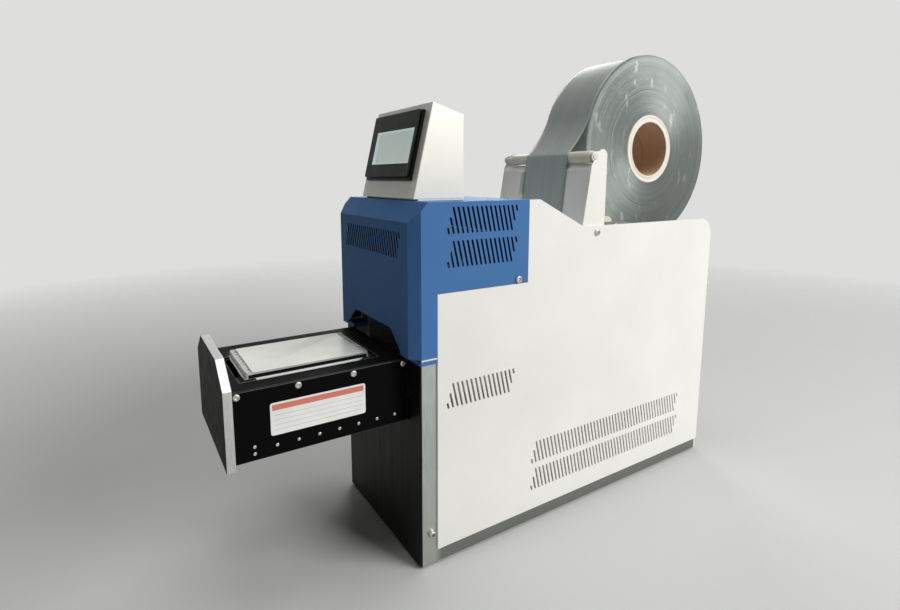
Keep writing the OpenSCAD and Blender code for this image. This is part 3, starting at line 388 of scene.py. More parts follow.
def along(origin, axis):
    """Matrix that puts local Z along an axis from an origin."""
    turn = Vector((0, 0, 1)).rotation_difference(Vector(axis))
    return Matrix.Translation(origin) @ turn.to_matrix().to_4x4()


def axes(origin, x, y):
    """Matrix with the given directions as local X and Y."""
    x, y = Vector(x).normalized(), Vector(y).normalized()
    made = Matrix((x, y, x.cross(y))).transposed().to_4x4()
    made.translation = Vector(origin)
    return made


def join(bm, a, b, look=0):
    """Faces between two rings of vertices, or a ring and a single one."""
    for k in range(max(len(a), len(b))):
        corners = [a[k % len(a)], a[(k + 1) % len(a)], b[(k + 1) % len(b)], b[k % len(b)]]
        bm.faces.new(list(dict.fromkeys(corners))).material_index = look


def lathe(bm, place, profile, count, look=0):
    """Turned form about local Z: (radius, height) in mm, with a shape by angle where it isn't round."""
    before = None
    for radius, height, *shape in profile:
        angles = [2 * math.pi * k / count for k in range(count if radius else 1)]
        reach = [radius * (shape[0](a) if shape else 1) for a in angles]
        ring = [bm.verts.new(place @ (MM * Vector((r * math.cos(a), r * math.sin(a), height))))
                for r, a in zip(reach, angles)]
        if before:
            join(bm, before, ring, look)
        before = ring


def rounded(width, length, radius):
    """Points of a rectangle with round corners, anticlockwise."""
    points = []
    for k, (sx, sy) in enumerate(((1, 1), (-1, 1), (-1, -1), (1, -1))):
        for step in range(CORNER_STEPS + 1):
            a = math.radians(90 * (k + step / CORNER_STEPS))
            x = sx * (width / 2 - radius) + radius * math.cos(a)
            points.append((x, sy * (length / 2 - radius) + radius * math.sin(a)))
    return points


def tiers(bm, place, profile, look=0, caps=(True, True)):
    """Stacked rounded rectangles in mm: (width, length, corner, height, shift along local X and Y)."""
    rings = []
    for width, length, corner, height, *shift in profile:
        outline = rounded(width, length, corner)
        dx, dy = shift or (0, 0)
        rings.append([bm.verts.new(place @ (MM * Vector((x + dx, y + dy, height)))) for x, y in outline])
    for a, b in zip(rings, rings[1:]):
        join(bm, a, b, look)
    for ring, wanted in zip((rings[0], rings[-1]), caps):
        if wanted:
            bm.faces.new(ring).material_index = look


def block(bm, low, high):
    """Box between two corners in mm."""
    size = [(b - a) * MM for a, b in zip(low, high)]
    middle = [(a + b) / 2 * MM for a, b in zip(low, high)]
    bmesh.ops.create_cube(bm, size=1, matrix=Matrix.Translation(middle) @ Matrix.Diagonal(size + [1]))


def piece(name, bm, looks, body, replaced=(), sharp=SHARP):
    """Turns a built mesh into a piece that rides on a body."""
    bmesh.ops.remove_doubles(bm, verts=bm.verts, dist=BUILT_POINT)
    bmesh.ops.recalc_face_normals(bm, faces=bm.faces)
    mesh = bpy.data.meshes.new(name)
    bm.to_mesh(mesh)
    bm.free()
    for look in looks:
        mesh.materials.append(look)
    mesh.shade_smooth()
    mesh.set_sharp_from_angle(angle=sharp)
    obj = bpy.data.objects.new(name, mesh)
    SCENE.collection.objects.link(obj)
    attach(obj, body)
    if replaced:
        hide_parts(*replaced)
    return obj


def soften(obj, width, highlight_look=None):
    """Joins an object's faces and rounds its edges by mm, with a painted highlight on them in a look of their own
    where one is given.
    """
    weld = obj.modifiers.new("weld", "WELD")
    weld.merge_threshold = NODE_POINT
    flat = obj.modifiers.new("flat", "DECIMATE")
    flat.decimate_type = "DISSOLVE"
    flat.angle_limit = SAME_PLANE
    bevel = obj.modifiers.new("bevel", "BEVEL")
    bevel.width = width * MM
    bevel.segments = 2
    bevel.limit_method = "ANGLE"
    bevel.angle_limit = SHARP
    bevel.harden_normals = obj.data.polygons[0].use_smooth
    if highlight_look:
        obj.data.materials.append(highlight_look)
        bevel.material = len(obj.data.materials) - 1


def thicken(obj, thickness):
    """Gives a sheet its thickness in mm, half to each side."""
    solid = obj.modifiers.new("thickness", "SOLIDIFY")
    solid.thickness = thickness * MM
    solid.offset = 0


def round_edges(bm, edges, width, segments, clamp=False):
    """Rounds a mesh's own edges by mm, or by less where clamp keeps neighbours apart."""
    bmesh.ops.bevel(
        bm, geom=edges, offset=width * MM, offset_type="OFFSET", segments=segments, profile=0.5,
        affect="EDGES", clamp_overlap=clamp,
    )


def copy_of(name):
    """A node's mesh with its faces joined."""
    bm = bmesh.new()
    bm.from_mesh(NODES[name].data)
    bmesh.ops.remove_doubles(bm, verts=bm.verts, dist=NODE_POINT)
    bmesh.ops.dissolve_limit(bm, angle_limit=SAME_PLANE, verts=bm.verts, edges=bm.edges)
    return bm


def islands(name):
    """Boxes of a node's separate solids."""
    bm = copy_of(name)
    left = set(bm.verts)
    boxes = []
    while left:
        found, queue = set(), [left.pop()]
        while queue:
            vert = queue.pop()
            found.add(vert)
            queue += [v for e in vert.link_edges for v in e.verts if v in left]
            left -= set(queue)
        low = Vector([min(v.co[k] for v in found) for k in range(3)])
        high = Vector([max(v.co[k] for v in found) for k in range(3)])
        boxes.append((low, high))
    bm.free()
    return sorted(boxes, key=lambda b: tuple(b[0]))


# CAD nodes: edges rounded by this many mm, and looks where they differ from their slot's
EDGES = {
    "display_housing": 1.0, "drawer_left_side": 0.35, "drawer_right_side": 0.35, "drawer_deck": 0.35,
    "column_front": 0.3, "chassis_left": 0.3, "chassis_right": 0.3, "cover_ledge": 0.35, "rear_deck": 0.5,
    "film_tower": 0.5, "film_edge_guide": 0.8, "plate_nest": 0.6, "rear_panel": 0.4,
}
OTHER_EDGE = 0.25
NODE_LOOKS = {
    "chassis_left": WALL_STEEL, "chassis_right": WALL_STEEL, "guide_roller": CREAM_PLASTIC,
    "display_gasket": FOAM, "display_housing": CREAM,
}


def dress_nodes():
    for name, slot in SLOTS.items():
        look = NODE_LOOKS.get(name, SLOT_LOOKS[slot])
        materials = NODES[name].data.materials
        materials.clear()
        materials.append(look)
        # Black anodised parts get a painted highlight on their rounded edges.
        soften(NODES[name], EDGES.get(name, OTHER_EDGE), BLACK_EDGE_HIGHLIGHT if look == ANODISED else None)


dress_nodes()


# Vents in sheet metal, in mm: the sheet, the largest slot, areas of its end and side walls, and its rounding
SHEET = 2
SLOT_WIDTH, SLOT_LENGTH = 2.5, 30
END_AREA, SIDE_AREA = 1.3 * SHEET * SLOT_WIDTH, SHEET * SLOT_LENGTH
SLOT_ROUND = 0.44 * SLOT_WIDTH
NEAR = 0.02


def slot_corners(bm):
    """Edges through the sheet at the corners of its vent slots."""
    corners = []
    for edge in bm.edges:
        areas = sorted(face.calc_area() / MM ** 2 for face in edge.link_faces)
        through = len(areas) == 2 and abs(edge.calc_length() / MM - SHEET) < NEAR
        if through and areas[0] < END_AREA and areas[1] < SIDE_AREA:
            corners.append(edge)
    return corners


def mark_inside(bm, look):
    """Gives a look to the faces that see the same mesh in front of them: the inside, for painted shade."""
    tree = BVHTree.FromBMesh(bm)
    for face in bm.faces:
        start = face.calc_center_median() + 0.01 * MM * face.normal
        if tree.ray_cast(start, face.normal)[0]:
            face.material_index = look


def vented(name, looks, edge, highlight_look=None):
    """A skin whose vent slots have round ends, in one look, or two where its inside has a look of painted shade.
    """
    bm = copy_of(name)
    round_edges(bm, slot_corners(bm), SLOT_ROUND, segments=4, clamp=True)
    bm.normal_update()
    if len(looks) > 1:
        mark_inside(bm, 1)
    skin = piece(name + "_skin", bm, looks, "base", [name])
    skin.data.shade_flat()
    soften(skin, edge, highlight_look)


# The cover's inside takes a dark blue as painted shade, and its edges a lighter blue as a painted highlight.
vented("top_cover", [BLUE, BLUE_INSIDE_SHADE], 0.6, BLUE_EDGE_HIGHLIGHT)
vented("left_side_panel", [WHITE], 0.5)
vented("right_side_panel", [WHITE], 0.5)

# Foam strip in mm: its width, and how far it stands in from the ledge's sides and front
FOAM_WIDTH, FOAM_INSET, FOAM_SETBACK = 1.4, 0.4, 1.2


def cover_seal():
    """Pale foam strip that fills the slit between the ledge and the cover."""
    ledge_low, ledge_high = box_mm("cover_ledge")
    cover_low = box_mm("top_cover")[0]
    outer = ledge_high.x - FOAM_INSET
    bm = bmesh.new()
    for x in (-outer, outer - FOAM_WIDTH):
        block(bm, (x, ledge_low.y + FOAM_SETBACK, ledge_high.z), (x + FOAM_WIDTH, ledge_high.y, cover_low.z))
    piece("cover_seal", bm, [FOAM], "base")


cover_seal()


# Screws: the recess's rim by its radius, the cross's arms by their length, and the head's base by its height
RECESS_RIM = 1.2
CROSS_ARM = 0.3
HEAD_BASE = 0.3
SCREW_SIDES = 48


def hexagon(a):
    """Reach of a hexagon at an angle, where its corners reach 1."""
    return math.cos(math.pi / 6) / math.cos(a % (math.pi / 3) - math.pi / 6)


def cross(a):
    """Reach of a cross at an angle, where the middle of its arms' ends reaches 1."""
    c, s = max(abs(math.cos(a)), 1e-6), max(abs(math.sin(a)), 1e-6)
    return max(min(1 / c, CROSS_ARM / s), min(CROSS_ARM / c, 1 / s))


def screw(bm, origin, axis, radius, height, recess, shape):
    """Domed head with a driver recess, in mm, on an origin in metres."""
    inner, base = RECESS_RIM * recess, HEAD_BASE * height
    dome = []
    for k in range(5):
        a = k * math.pi / 8
        dome.append((inner + (radius - inner) * math.cos(a), base + (height - base) * math.sin(a)))
    profile = [(0, 0), (radius * 0.96, 0), (radius, base * 0.4)] + dome
    cut = [(recess, height * 0.97, shape), (recess * 0.92, height * 0.4, shape), (0, height * 0.35)]
    lathe(bm, along(origin, axis), profile + cut, SCREW_SIDES)


def screws(name, body, nodes, recess, shape):
    """Screws in place of a node's solids, with a recess by the head's radius."""
    bm = bmesh.new()
    for low, high in islands(nodes):
        out = 1 if low.x > 0 else -1
        middle = (low + high) / 2
        origin = (low.x if out > 0 else high.x, middle.y, middle.z)
        radius, height = (high.z - low.z) / 2 / MM, (high.x - low.x) / MM
        screw(bm, origin, (out, 0, 0), radius, height, radius * recess, shape)
    piece(name, bm, [BRIGHT], body, [nodes])


screws("drawer_button_screws", "drawer", "drawer_screws", 0.48, hexagon)
screws("panel_pan_screws", "base", "panel_screws", 0.55, cross)


# Display

def turned_box(name, normal):
    """Matrix on the back face of a node that faces a normal, and its width, height and depth in mm."""
    up = normal.cross(ACROSS)
    points = [v.co for v in NODES[name].data.vertices]
    reaches = [[point.dot(way) for point in points] for way in (ACROSS, up, normal)]
    spans = [(min(reach), max(reach)) for reach in reaches]
    middle = [(a + b) / 2 for a, b in spans]
    origin = ACROSS * middle[0] + up * middle[1] + normal * spans[2][0]
    return axes(origin, ACROSS, up), [(b - a) / MM for a, b in spans]


def display_normal():
    """Normal of the bezel's front."""
    fronts = [p for p in NODES["display_bezel"].data.polygons if p.normal.y < -0.7]
    return max(fronts, key=lambda p: p.area).normal.normalized()


# Display frame in mm: how its flange and face plate differ from the solid, and its window from the screen
FLANGE_GROWS, FLANGE_SHIFT = 6, -1
FACE_GROWS, FACE_SHRINKS, FACE_RISES = 3, 4, 1
WINDOW_GROWS, WINDOW_SHIFT = 0.8, 1.6
SEAT_SHRINKS = 0.4
# Shares of the frame's depth where its flange ends and its face plate begins
FLANGE_END, FACE_START = 0.45, 0.78


def bezel():
    """Display frame: a rear flange, a groove in painted shade, and a face plate with the window's walls pale and
    glowing as a painted highlight.
    """
    normal = display_normal()
    place, (width, height, depth) = turned_box("display_bezel", normal)
    glass, (glass_w, glass_h, glass_t) = turned_box("display_screen", normal)
    dx, dy, glass_low = place.inverted() @ glass.translation / MM
    flange, face = FLANGE_END * depth, FACE_START * depth
    back_w, front_w, front_h = width + FLANGE_GROWS, width + FACE_GROWS, height - FACE_SHRINKS
    back, front = (FLANGE_SHIFT, 0), (0, FACE_RISES)
    neck = (front_w - 3, front_h - 2, 1.0)
    seat = (glass_w - SEAT_SHRINKS - WINDOW_SHIFT, glass_h - SEAT_SHRINKS, 0.6)
    seat_shift = (dx + WINDOW_SHIFT / 2, dy)
    face_back = (front_w - 0.4, front_h - 0.4, 1.9, face, *front)
    window = (glass_w + WINDOW_GROWS, glass_h + WINDOW_GROWS, 1.0, depth, dx + WINDOW_SHIFT, dy)
    bm = bmesh.new()
    tiers(bm, place, [
        (back_w - 1, height - 1, 1.8, 0, *back), (back_w, height, 2.0, 0.4, *back),
        (back_w, height, 2.0, flange - 0.4, *back), (back_w - 0.8, height - 0.8, 1.8, flange, *back),
        (*neck, flange, *front),
    ], caps=OPEN)
    # The groove, in painted shade.
    tiers(bm, place, [(*neck, flange, *front), (*neck, face, *front), face_back], look=2, caps=OPEN)
    tiers(bm, place, [
        face_back, (front_w, front_h, 2.0, face + 0.2, *front),
        (front_w, front_h, 2.0, depth - 0.4, *front), (front_w - 0.8, front_h - 0.8, 1.8, depth, *front),
        window,
    ], caps=OPEN)
    # The window's walls, pale and glowing as a painted highlight.
    tiers(bm, place, [
        window, (*seat, depth - 0.8, *seat_shift), (*seat, glass_low + glass_t + 0.05, *seat_shift),
    ], look=1, caps=OPEN)
    piece("display_frame", bm, [BEZEL, BEZEL_WALL_GLOW, BEZEL_GROOVE_SHADE], "base", ["display_bezel"])


bezel()


# Drawer front, label and well plate

FRONT_EDGE = 0.5


def drawer_front():
    """Black front face, with the plate's metal bare on its edges and back."""
    bm = copy_of("front_plate")
    edges = [e for e in bm.edges if e.calc_face_angle(0) > math.radians(20)]
    round_edges(bm, edges, FRONT_EDGE, segments=2)
    for face in bm.faces:
        face.material_index = 0 if face.normal.y < -0.5 else 1
    front = piece("drawer_front", bm, [FRONT, BARE_EDGE], "drawer", ["front_plate"])
    front.modifiers.new("even", "WEIGHTED_NORMAL")


drawer_front()

# Label in mm: corners as (y, z) on the drawer's side, thickness, head band, and ruled lines below it
LABEL_BOX = ((-389, 179.5), (-295, 211))
LABEL_CORNER, LABEL_THICK, PRINT_THICK = 2.5, 0.12, 0.04
LABEL_MARGIN, BAND_HEIGHT = 2, 5.5
LINES, LINE_DROP, LINE_PITCH, LINE_WIDTH = 4, 5, 4.6, 0.3


def blank_label():
    """Blank write-on label: a head band across its width, and ruled lines."""
    (y0, z0), (y1, z1) = LABEL_BOX
    side = box_mm("drawer_right_side")[1].x
    width, height = y1 - y0, z1 - z0
    place = axes(MM * Vector((side, (y0 + y1) / 2, (z0 + z1) / 2)), (0, 1, 0), (0, 0, 1))
    printed = (LABEL_THICK, LABEL_THICK + PRINT_THICK)
    band = height / 2 - LABEL_MARGIN - BAND_HEIGHT / 2
    bm = bmesh.new()
    tiers(bm, place, [(width, height, LABEL_CORNER, h) for h in (0, LABEL_THICK)])
    tiers(bm, place, [(width - 2 * LABEL_MARGIN, BAND_HEIGHT, 0.4, h, 0, band) for h in printed], look=1)
    for k in range(LINES):
        line = band - BAND_HEIGHT / 2 - LINE_DROP - LINE_PITCH * k
        tiers(bm, place, [(width - 4 * LABEL_MARGIN, LINE_WIDTH, 0.1, h, 0, line) for h in printed], look=2)
    piece("blank_label", bm, [LABEL, LABEL_BAND, LABEL_LINE], "drawer")


blank_label()

# Well plate in mm: its box, the deck's seat, the heights of its flange and channel, its body and its wells
PLATE_LOW, PLATE_HIGH = box_mm("well_plate")
PLATE_TOP = PLATE_HIGH.z
PLATE_MID_Y = (PLATE_LOW.y + PLATE_HIGH.y) / 2
PLATE_W, PLATE_L = PLATE_HIGH.x - PLATE_LOW.x, PLATE_HIGH.y - PLATE_LOW.y
SEAT_Z = box_mm("drawer_deck")[1].z - 3
FLANGE_Z = SEAT_Z + 1.6
CHANNEL_Z = PLATE_TOP - 1.6
BODY_W, BODY_L = PLATE_W - 4, PLATE_L - 2
WELL_ROWS, WELL_COLUMNS, WELL_PITCH, WELL_SIDES = 8, 12, 9, 12
RIB_HALF = 0.5
LONG_WALL_AREA = 100

# Film sealed on it in mm: its box, how ragged it is, its thickness, and how its long edges turn down and out
SEAL_LOW, SEAL_HIGH = box_mm("plate_seal")
SEAL_W, SEAL_L = SEAL_HIGH.x - SEAL_LOW.x, SEAL_HIGH.y - SEAL_LOW.y
RAGGED = 0.5
SEAL_THICK = 0.15
HEM, HEM_OUT = 1.1, 0.3
TRIM_STEP = 4


def plate_body(bm):
    """Flange, stepped body, and inside its rim a channel round the raised field of wells."""
    place = Matrix.Translation(MM * Vector((0, PLATE_MID_Y, 0)))
    foot = (BODY_W + 0.4, BODY_L + 0.4, 2.6, FLANGE_Z)
    upper, inside = (BODY_W - 0.8, BODY_L - 0.8, 2.2), (BODY_W - 2.8, BODY_L - 2.8, 1.4)
    field = (min(SEAL_W, BODY_W - 3.2), SEAL_L - 0.6, 1.0)
    # The flange, in its painted highlight.
    tiers(bm, place, [
        (PLATE_W - 3, PLATE_L - 3, 2, SEAT_Z), (PLATE_W, PLATE_L, 3, SEAT_Z + 0.02),
        (PLATE_W, PLATE_L, 3, FLANGE_Z - 0.3), (PLATE_W - 0.6, PLATE_L - 0.6, 2.7, FLANGE_Z), foot,
    ], look=1, caps=OPEN)
    tiers(bm, place, [
        foot, (BODY_W, BODY_L, 2.4, FLANGE_Z + 0.5), (BODY_W, BODY_L, 2.4, CHANNEL_Z - 0.6),
        (*upper, CHANNEL_Z - 0.4), (*upper, PLATE_TOP - 0.3),
        (BODY_W - 1.2, BODY_L - 1.2, 2, PLATE_TOP - 0.1), (BODY_W - 2.4, BODY_L - 2.4, 1.6, PLATE_TOP - 0.1),
        (*inside, PLATE_TOP - 0.4), (*inside, CHANNEL_Z), (*field, CHANNEL_Z), (*field, PLATE_TOP - 0.02),
    ], caps=(False, True))


def plate_ribs(bm):
    """Ribs across the channel at both ends."""
    for end in (-1, 1):
        y0, y1 = sorted(PLATE_MID_Y + end * reach for reach in (SEAL_L / 2 - 0.3, BODY_L / 2 - 1.4))
        for k in range(WELL_ROWS + 1):
            x = (k - WELL_ROWS / 2) * WELL_PITCH
            block(bm, (x - RIB_HALF, y0, CHANNEL_Z), (x + RIB_HALF, y1, PLATE_TOP - 0.35))


def plate_wells(bm):
    """Wells below the field, narrower toward the bottom."""
    low = PLATE_LOW.z
    wall = [(3.2, CHANNEL_Z), (3.0, low + 2), (2.2, low + 0.6), (0, low)]
    for row in range(WELL_ROWS):
        for column in range(WELL_COLUMNS):
            x = (row - (WELL_ROWS - 1) / 2) * WELL_PITCH
            y = PLATE_MID_Y + (column - (WELL_COLUMNS - 1) / 2) * WELL_PITCH
            lathe(bm, Matrix.Translation(MM * Vector((x, y, 0))), wall, WELL_SIDES)


def well_plate():
    """Clear plate, whitened at its flange as a painted highlight, and dark on its long walls for the black nest
    behind them and for painted shade.
    """
    bm = bmesh.new()
    plate_body(bm)
    plate_ribs(bm)
    plate_wells(bm)
    bm.normal_update()
    for face in bm.faces:
        height, area = face.calc_center_median().z / MM, face.calc_area() / MM ** 2
        # Long walls take the dark look: painted shade over the black nest behind them.
        if abs(face.normal.x) > 0.9 and FLANGE_Z < height < CHANNEL_Z and area > LONG_WALL_AREA:
            face.material_index = 2
    piece("clear_well_plate", bm, [CLEAR, FLANGE_HIGHLIGHT, SHADED_WALL], "drawer", ["well_plate"])


def plate_seal():
    """Film sealed on the plate, trimmed a little unevenly, its long edges turned down."""
    dice = random.Random(11)
    outline = rounded(SEAL_W, SEAL_L - 2 * RAGGED, 1.5)
    middle, top = (SEAL_LOW.y + SEAL_HIGH.y) / 2, SEAL_HIGH.z
    flat, hem = [], []
    for a, b in zip(outline, outline[1:] + outline[:1]):
        count = max(1, round(math.dist(a, b) / TRIM_STEP))
        for k in range(count):
            x, y = Vector(a).lerp(Vector(b), k / count)
            y += dice.uniform(-RAGGED, RAGGED) if abs(y) > SEAL_L / 2 - 1 else 0
            flat.append(Vector((x * 0.99, middle + y * 0.995, top - SEAL_THICK)))
            turned_down = HEM + dice.uniform(-RAGGED, RAGGED) / 3
            drop = turned_down if abs(x) > SEAL_W / 2 - 0.5 else SEAL_THICK
            hem.append(Vector((x + math.copysign(HEM_OUT, x), middle + y, top - drop)))
    bm = bmesh.new()
    rings = [[bm.verts.new(MM * point) for point in ring] for ring in (flat, hem)]
    bm.faces.new(rings[0])
    join(bm, *rings)
    seal = piece("plate_seal_film", bm, [SEAL], "drawer", ["plate_seal"])
    thicken(seal, SEAL_THICK)


well_plate()
plate_seal()


# Film roll and core: rings on the roll's side, those that stand further in, and the core's wall, in mm
ROLL_RINGS, ROLL_SIDES = 96, 128
GROOVES = {14: 0.06, 40: 0.07, 41: 0.07, 63: 0.05}
CORE_WALL, CORE_SIDES = 9.9, 96


def film_roll():
    """Wound roll: its sides are rings that stand a little in or out."""
    half = box_mm("film_roll")[1].x
    outer, inner = radius_mm("film_roll") - 0.05, radius_mm("roll_core") + 0.1
    dice = random.Random(7)
    sides = []
    for side in (-1, 1):
        rings = [(inner, half - 0.1)]
        for k in range(1, ROLL_RINGS):
            radius = inner + (outer - 0.5 - inner) * k / ROLL_RINGS
            sunk = 0.08 + dice.uniform(0, 0.05) + GROOVES.get(k, 0)
            rings.append((radius, half - sunk))
        rings += [(outer - 0.4, half - 0.05), (outer - 0.06, half - 0.3)]
        sides.append([(radius, side * height) for radius, height in rings])
    left, right = sides
    place = along(REEL, ACROSS)
    bm = bmesh.new()
    lathe(bm, place, left, ROLL_SIDES)
    lathe(bm, place, right, ROLL_SIDES)
    rim = [left[-1]] + [(outer, k * half / 4) for k in range(-3, 4)] + [right[-1]]
    lathe(bm, place, rim, ROLL_SIDES, look=1)
    lathe(bm, place, [left[0], right[0]], ROLL_SIDES)
    piece("wound_roll", bm, [WOUND, FILM], "film_reel", ["film_roll"])


def roll_core():
    """Card tube with rounded rims and a groove in each end."""
    half, outer = box_mm("roll_core")[1].x, radius_mm("roll_core")
    inner = outer - CORE_WALL
    place = along(REEL, ACROSS)
    bm = bmesh.new()
    lathe(bm, place, [(inner, h) for h in (0.6 - half, 0, half - 0.6)], CORE_SIDES, look=1)
    for side in (-1, 1):
        rim = [(inner, half - 0.6), (inner + 0.6, half), (inner + 4.6, half), (inner + 4.9, half - 0.2),
               (inner + 5.2, half), (outer - 0.8, half), (outer, half - 0.7)]
        lathe(bm, place, [(radius, side * height) for radius, height in rim], CORE_SIDES)
    lathe(bm, place, [(outer, (half - 0.7) * side) for side in (-1, 1)], CORE_SIDES)
    piece("card_core", bm, [CARD_RIM, KRAFT], "film_reel", ["roll_core"])


film_roll()
roll_core()

# Film web: its gap to the rollers, thickness and step in mm, and degrees of wrap on the roll and of slack
PATH_GAP, FILM_THICK, FILM_STEP = 0.45, 0.2, 6
FILM_WRAP, FILM_SLACK = 46, 13
FILM_COLUMNS = 16


def joint_place(name):
    """Where a joint's axis crosses the middle plane, as (y, z) in mm."""
    origin = JOINTS[name]["pos_m"]
    return Vector((origin[1], origin[2])) / MM


def polar(radius, degrees):
    a = math.radians(degrees)
    return radius * Vector((math.cos(a), math.sin(a)))


def arc(centre, radius, start, end, count):
    return [centre + polar(radius, start + (end - start) * k / count) for k in range(count + 1)]


def slack_run(start, start_angle, end, end_angle):
    """Points between two circles, along the tangents of both."""
    pull = (end - start).length / 3
    handles = start + polar(pull, start_angle + 90), end - polar(pull, end_angle + 90)
    return interpolate_bezier(start, *handles, end, 16)[1:-1]


def film_path():
    """Points along the film from the roll over the guide roller and under the turn roller."""
    roll, guide, turn = (joint_place(n + "_spin") for n in ("film_reel", "guide_roller", "turn_roller"))
    roll_r, guide_r = radius_mm("film_roll") + PATH_GAP, radius_mm("guide_roller") + PATH_GAP
    to_roll, to_turn = roll - guide, turn - guide
    rise = math.degrees(math.atan2(to_roll.y, to_roll.x))
    fall = math.degrees(math.atan2(to_turn.y, to_turn.x))
    taut = 90 + rise + math.degrees(math.asin((roll_r - guide_r) / to_roll.length))
    leave = 360 + fall - math.degrees(math.acos(2 * guide_r / to_turn.length))
    slack, meet = taut + FILM_SLACK, taut - FILM_SLACK
    wrap = arc(roll, roll_r, taut - FILM_WRAP, slack, 24)
    over = arc(guide, guide_r, meet, leave, 10)
    under = arc(turn, guide_r, leave - 180, -90, 12)
    end = Vector((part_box("film_web")[0].y / MM, turn.y - guide_r))
    return wrap + slack_run(wrap[-1], slack, over[0], meet) + over + under + [end]


def film_web():
    """Film in one sheet, its straight runs divided as finely as its bends."""
    path = film_path()
    points = []
    for a, b in zip(path, path[1:]):
        count = max(1, round((b - a).length / FILM_STEP))
        points += [a.lerp(b, k / count) for k in range(count)]
    points.append(path[-1])
    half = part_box("film_web")[1].x / MM
    xs = [half * (2 * k / FILM_COLUMNS - 1) for k in range(FILM_COLUMNS + 1)]
    bm = bmesh.new()
    rows = [[bm.verts.new(MM * Vector((x, point.x, point.y))) for x in xs] for point in points]
    for a, b in zip(rows, rows[1:]):
        for k in range(FILM_COLUMNS):
            bm.faces.new((a[k], a[k + 1], b[k + 1], b[k]))
    web = piece("film_sheet", bm, [FILM], "base", ["film_web"], sharp=math.radians(60))
    thicken(web, FILM_THICK)


film_web()


# Rear fittings in mm. Fan guard: rings, wire radius, how far rings and spokes stand off, spokes and eyes
GUARD_RINGS = (9, 16, 23, 30, 36.5)
GUARD_WIRE = 0.9
RING_OFF, SPOKE_OFF = 2.4, 1.2
SPOKE_START, SPOKE_INSET, EYE_RADIUS = 6, 4.5, 3.4
# Screws: radius, height and recess, and the rear panel's by height in the frame and inset from its edges
GUARD_SCREW, PANEL_SCREW = (3.2, 2.6, 1.6), (3.2, 2.2, 1.7)
PANEL_SCREW_Z, TOP_INSET, SIDE_INSET = (14, 112, 205), 12, 8
# Contact blades: places about the socket's middle, its height, half widths, and ends behind the inlet's face
BLADES = ((-7, -1), (7, -1), (0, 3))
SOCKET_Z, BLADE_HALF, BLADE_ENDS = 18, (1, 2), (17, 4)
COLLAR_PROFILE = [
    (3.1, -3), (3.1, 0.5), (3.4, 0.8), (5.2, 0.8), (5.6, 0.4), (5.6, -0.6), (4.4, -0.9), (4.4, -1.2),
]


def wire(bm, start, end, radius):
    """Round wire between two points in mm."""
    run = end - start
    lathe(bm, along(MM * start, run), [(0, 0), (radius, 0), (radius, run.length), (0, run.length)], 10)


def wire_ring(bm, middle, radius, wire_radius):
    """Ring of round wire about Y, in mm."""
    section = [2 * math.pi * k / 8 for k in range(9)]
    profile = [(radius + wire_radius * math.cos(a), wire_radius * math.sin(a)) for a in section]
    lathe(bm, along(MM * middle, BACK), profile, 64)


def fan_guard():
    """Wire guard over the fan outlet, with its screws."""
    low, high = box_mm("fan_frame")
    face = box_mm("rear_panel")[1].y
    middle = Vector(((low.x + high.x) / 2, face, (low.z + high.z) / 2))
    reach = (high.x - low.x) / 2 - SPOKE_INSET
    bm = bmesh.new()
    for radius in GUARD_RINGS:
        wire_ring(bm, middle + RING_OFF * BACK, radius, GUARD_WIRE)
    for sx in (-1, 1):
        for sz in (-1, 1):
            way = Vector((sx, 0, sz))
            start, end = (middle + SPOKE_OFF * BACK + way * r for r in (SPOKE_START, reach))
            wire(bm, start, end, GUARD_WIRE)
            wire_ring(bm, end, EYE_RADIUS, GUARD_WIRE)
            screw(bm, MM * (middle + way * reach), BACK, *GUARD_SCREW, cross)
    piece("fan_guard", bm, [BRIGHT], "base")


def rear_screws():
    """Pan head screws up both edges of the rear panel."""
    high = box_mm("rear_panel")[1]
    bm = bmesh.new()
    for side in (-1, 1):
        for z in (*PANEL_SCREW_Z, high.z - TOP_INSET):
            origin = MM * Vector((side * (high.x - SIDE_INSET), high.y, z))
            screw(bm, origin, BACK, *PANEL_SCREW, cross)
    piece("rear_pan_screws", bm, [BRIGHT], "base")


def inlet_pins():
    """Three contact blades in the mains socket."""
    low, high = box_mm("mains_inlet")
    y0, y1 = (high.y - end for end in BLADE_ENDS)
    half_x, half_z = BLADE_HALF
    bm = bmesh.new()
    for dx, dz in BLADES:
        x, z = (low.x + high.x) / 2 + dx, low.z + SOCKET_Z + dz
        block(bm, (x - half_x, y0, z - half_z), (x + half_x, y1, z + half_z))
    pins = piece("inlet_pins", bm, [BRASS], "base")
    soften(pins, 0.4)


def tube_collar():
    """Release collar on the push-in air fitting."""
    low, high = box_mm("air_fitting")
    place = along(MM * Vector(((low.x + high.x) / 2, high.y, (low.z + high.z) / 2)), BACK)
    bm = bmesh.new()
    lathe(bm, place, COLLAR_PROFILE, 40)
    piece("tube_collar", bm, [COLLAR], "base")


fan_guard()
rear_screws()
inlet_pins()
tube_collar()


# Floor: its rings in mm, and the distances in metres between which it fades out
FLOOR_RINGS = (0, 800, 2400)
FLOOR_FADE = (0.7, 2.2)
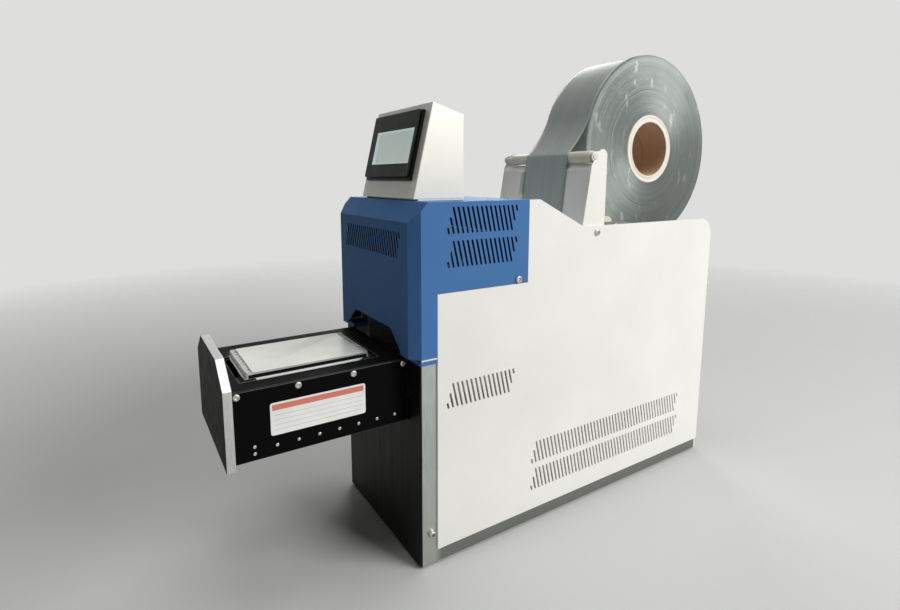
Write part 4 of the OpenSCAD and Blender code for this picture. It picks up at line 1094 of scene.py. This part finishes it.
# Lamps, all aimed at one point: place and size in metres, and watts
LAMP_AIM = Vector((0, -0.05, 0.25))
LAMPS = {
    "key": ((1.95, 1.15, 1.4), 1.4, 58),
    "overhead": ((0.1, -0.1, 2.2), 1.2, 15),
    "fill": ((-2.0, 1.2, 1.3), 1.4, 20),
}
# Strength of the world as light, and as the camera, gloss and clear pieces see it
WORLD_LIGHT, WORLD_SEEN = 0.09, 1.0


def make_stage():
    """A pale floor that fades into the background away from the object."""
    bm = bmesh.new()
    lathe(bm, Matrix.Translation((0, 0, cad_low.z)), [(radius, 0) for radius in FLOOR_RINGS], 64)
    mesh = bpy.data.meshes.new("floor")
    bm.to_mesh(mesh)
    bm.free()
    floor = bpy.data.objects.new("floor", mesh)
    SCENE.collection.objects.link(floor)
    look = Surface("floor", Roughness=0.75, Specular_IOR_Level=0.2)
    look.tint("#cfcfcd", scale=2, amount=0.01)
    x, y, _ = look.coords()
    look.use("Alpha", look.spread(look.distance(x, y), 1.0, 0.0, *FLOOR_FADE))
    mesh.materials.append(look.material)


def make_lamps():
    for name, (place, size, power) in LAMPS.items():
        data = bpy.data.lights.new(name, "AREA")
        data.size = size
        data.energy = power
        lamp = bpy.data.objects.new(name, data)
        lamp.location = place
        lamp.rotation_euler = (LAMP_AIM - Vector(place)).to_track_quat("-Z", "Y").to_euler()
        SCENE.collection.objects.link(lamp)


def make_world():
    """A pale background that adds only a little light of its own."""
    world = bpy.data.worlds.new("studio")
    SCENE.world = world
    world.use_nodes = True
    tree = world.node_tree
    back = tree.nodes["Background"]
    back.inputs["Color"].default_value = linear("#dededc")
    path = tree.nodes.new("ShaderNodeLightPath")
    shown = path.outputs["Is Camera Ray"]
    for ray in ("Is Glossy Ray", "Is Transmission Ray"):
        either = tree.nodes.new("ShaderNodeMath")
        either.operation = "MAXIMUM"
        tree.links.new(shown, either.inputs[0])
        tree.links.new(path.outputs[ray], either.inputs[1])
        shown = either.outputs[0]
    level = tree.nodes.new("ShaderNodeMapRange")
    level.inputs["To Min"].default_value = WORLD_LIGHT
    level.inputs["To Max"].default_value = WORLD_SEEN
    tree.links.new(shown, level.inputs["Value"])
    tree.links.new(level.outputs[0], back.inputs["Strength"])


make_stage()
make_lamps()
make_world()
SCENE.view_settings.view_transform = "Standard"
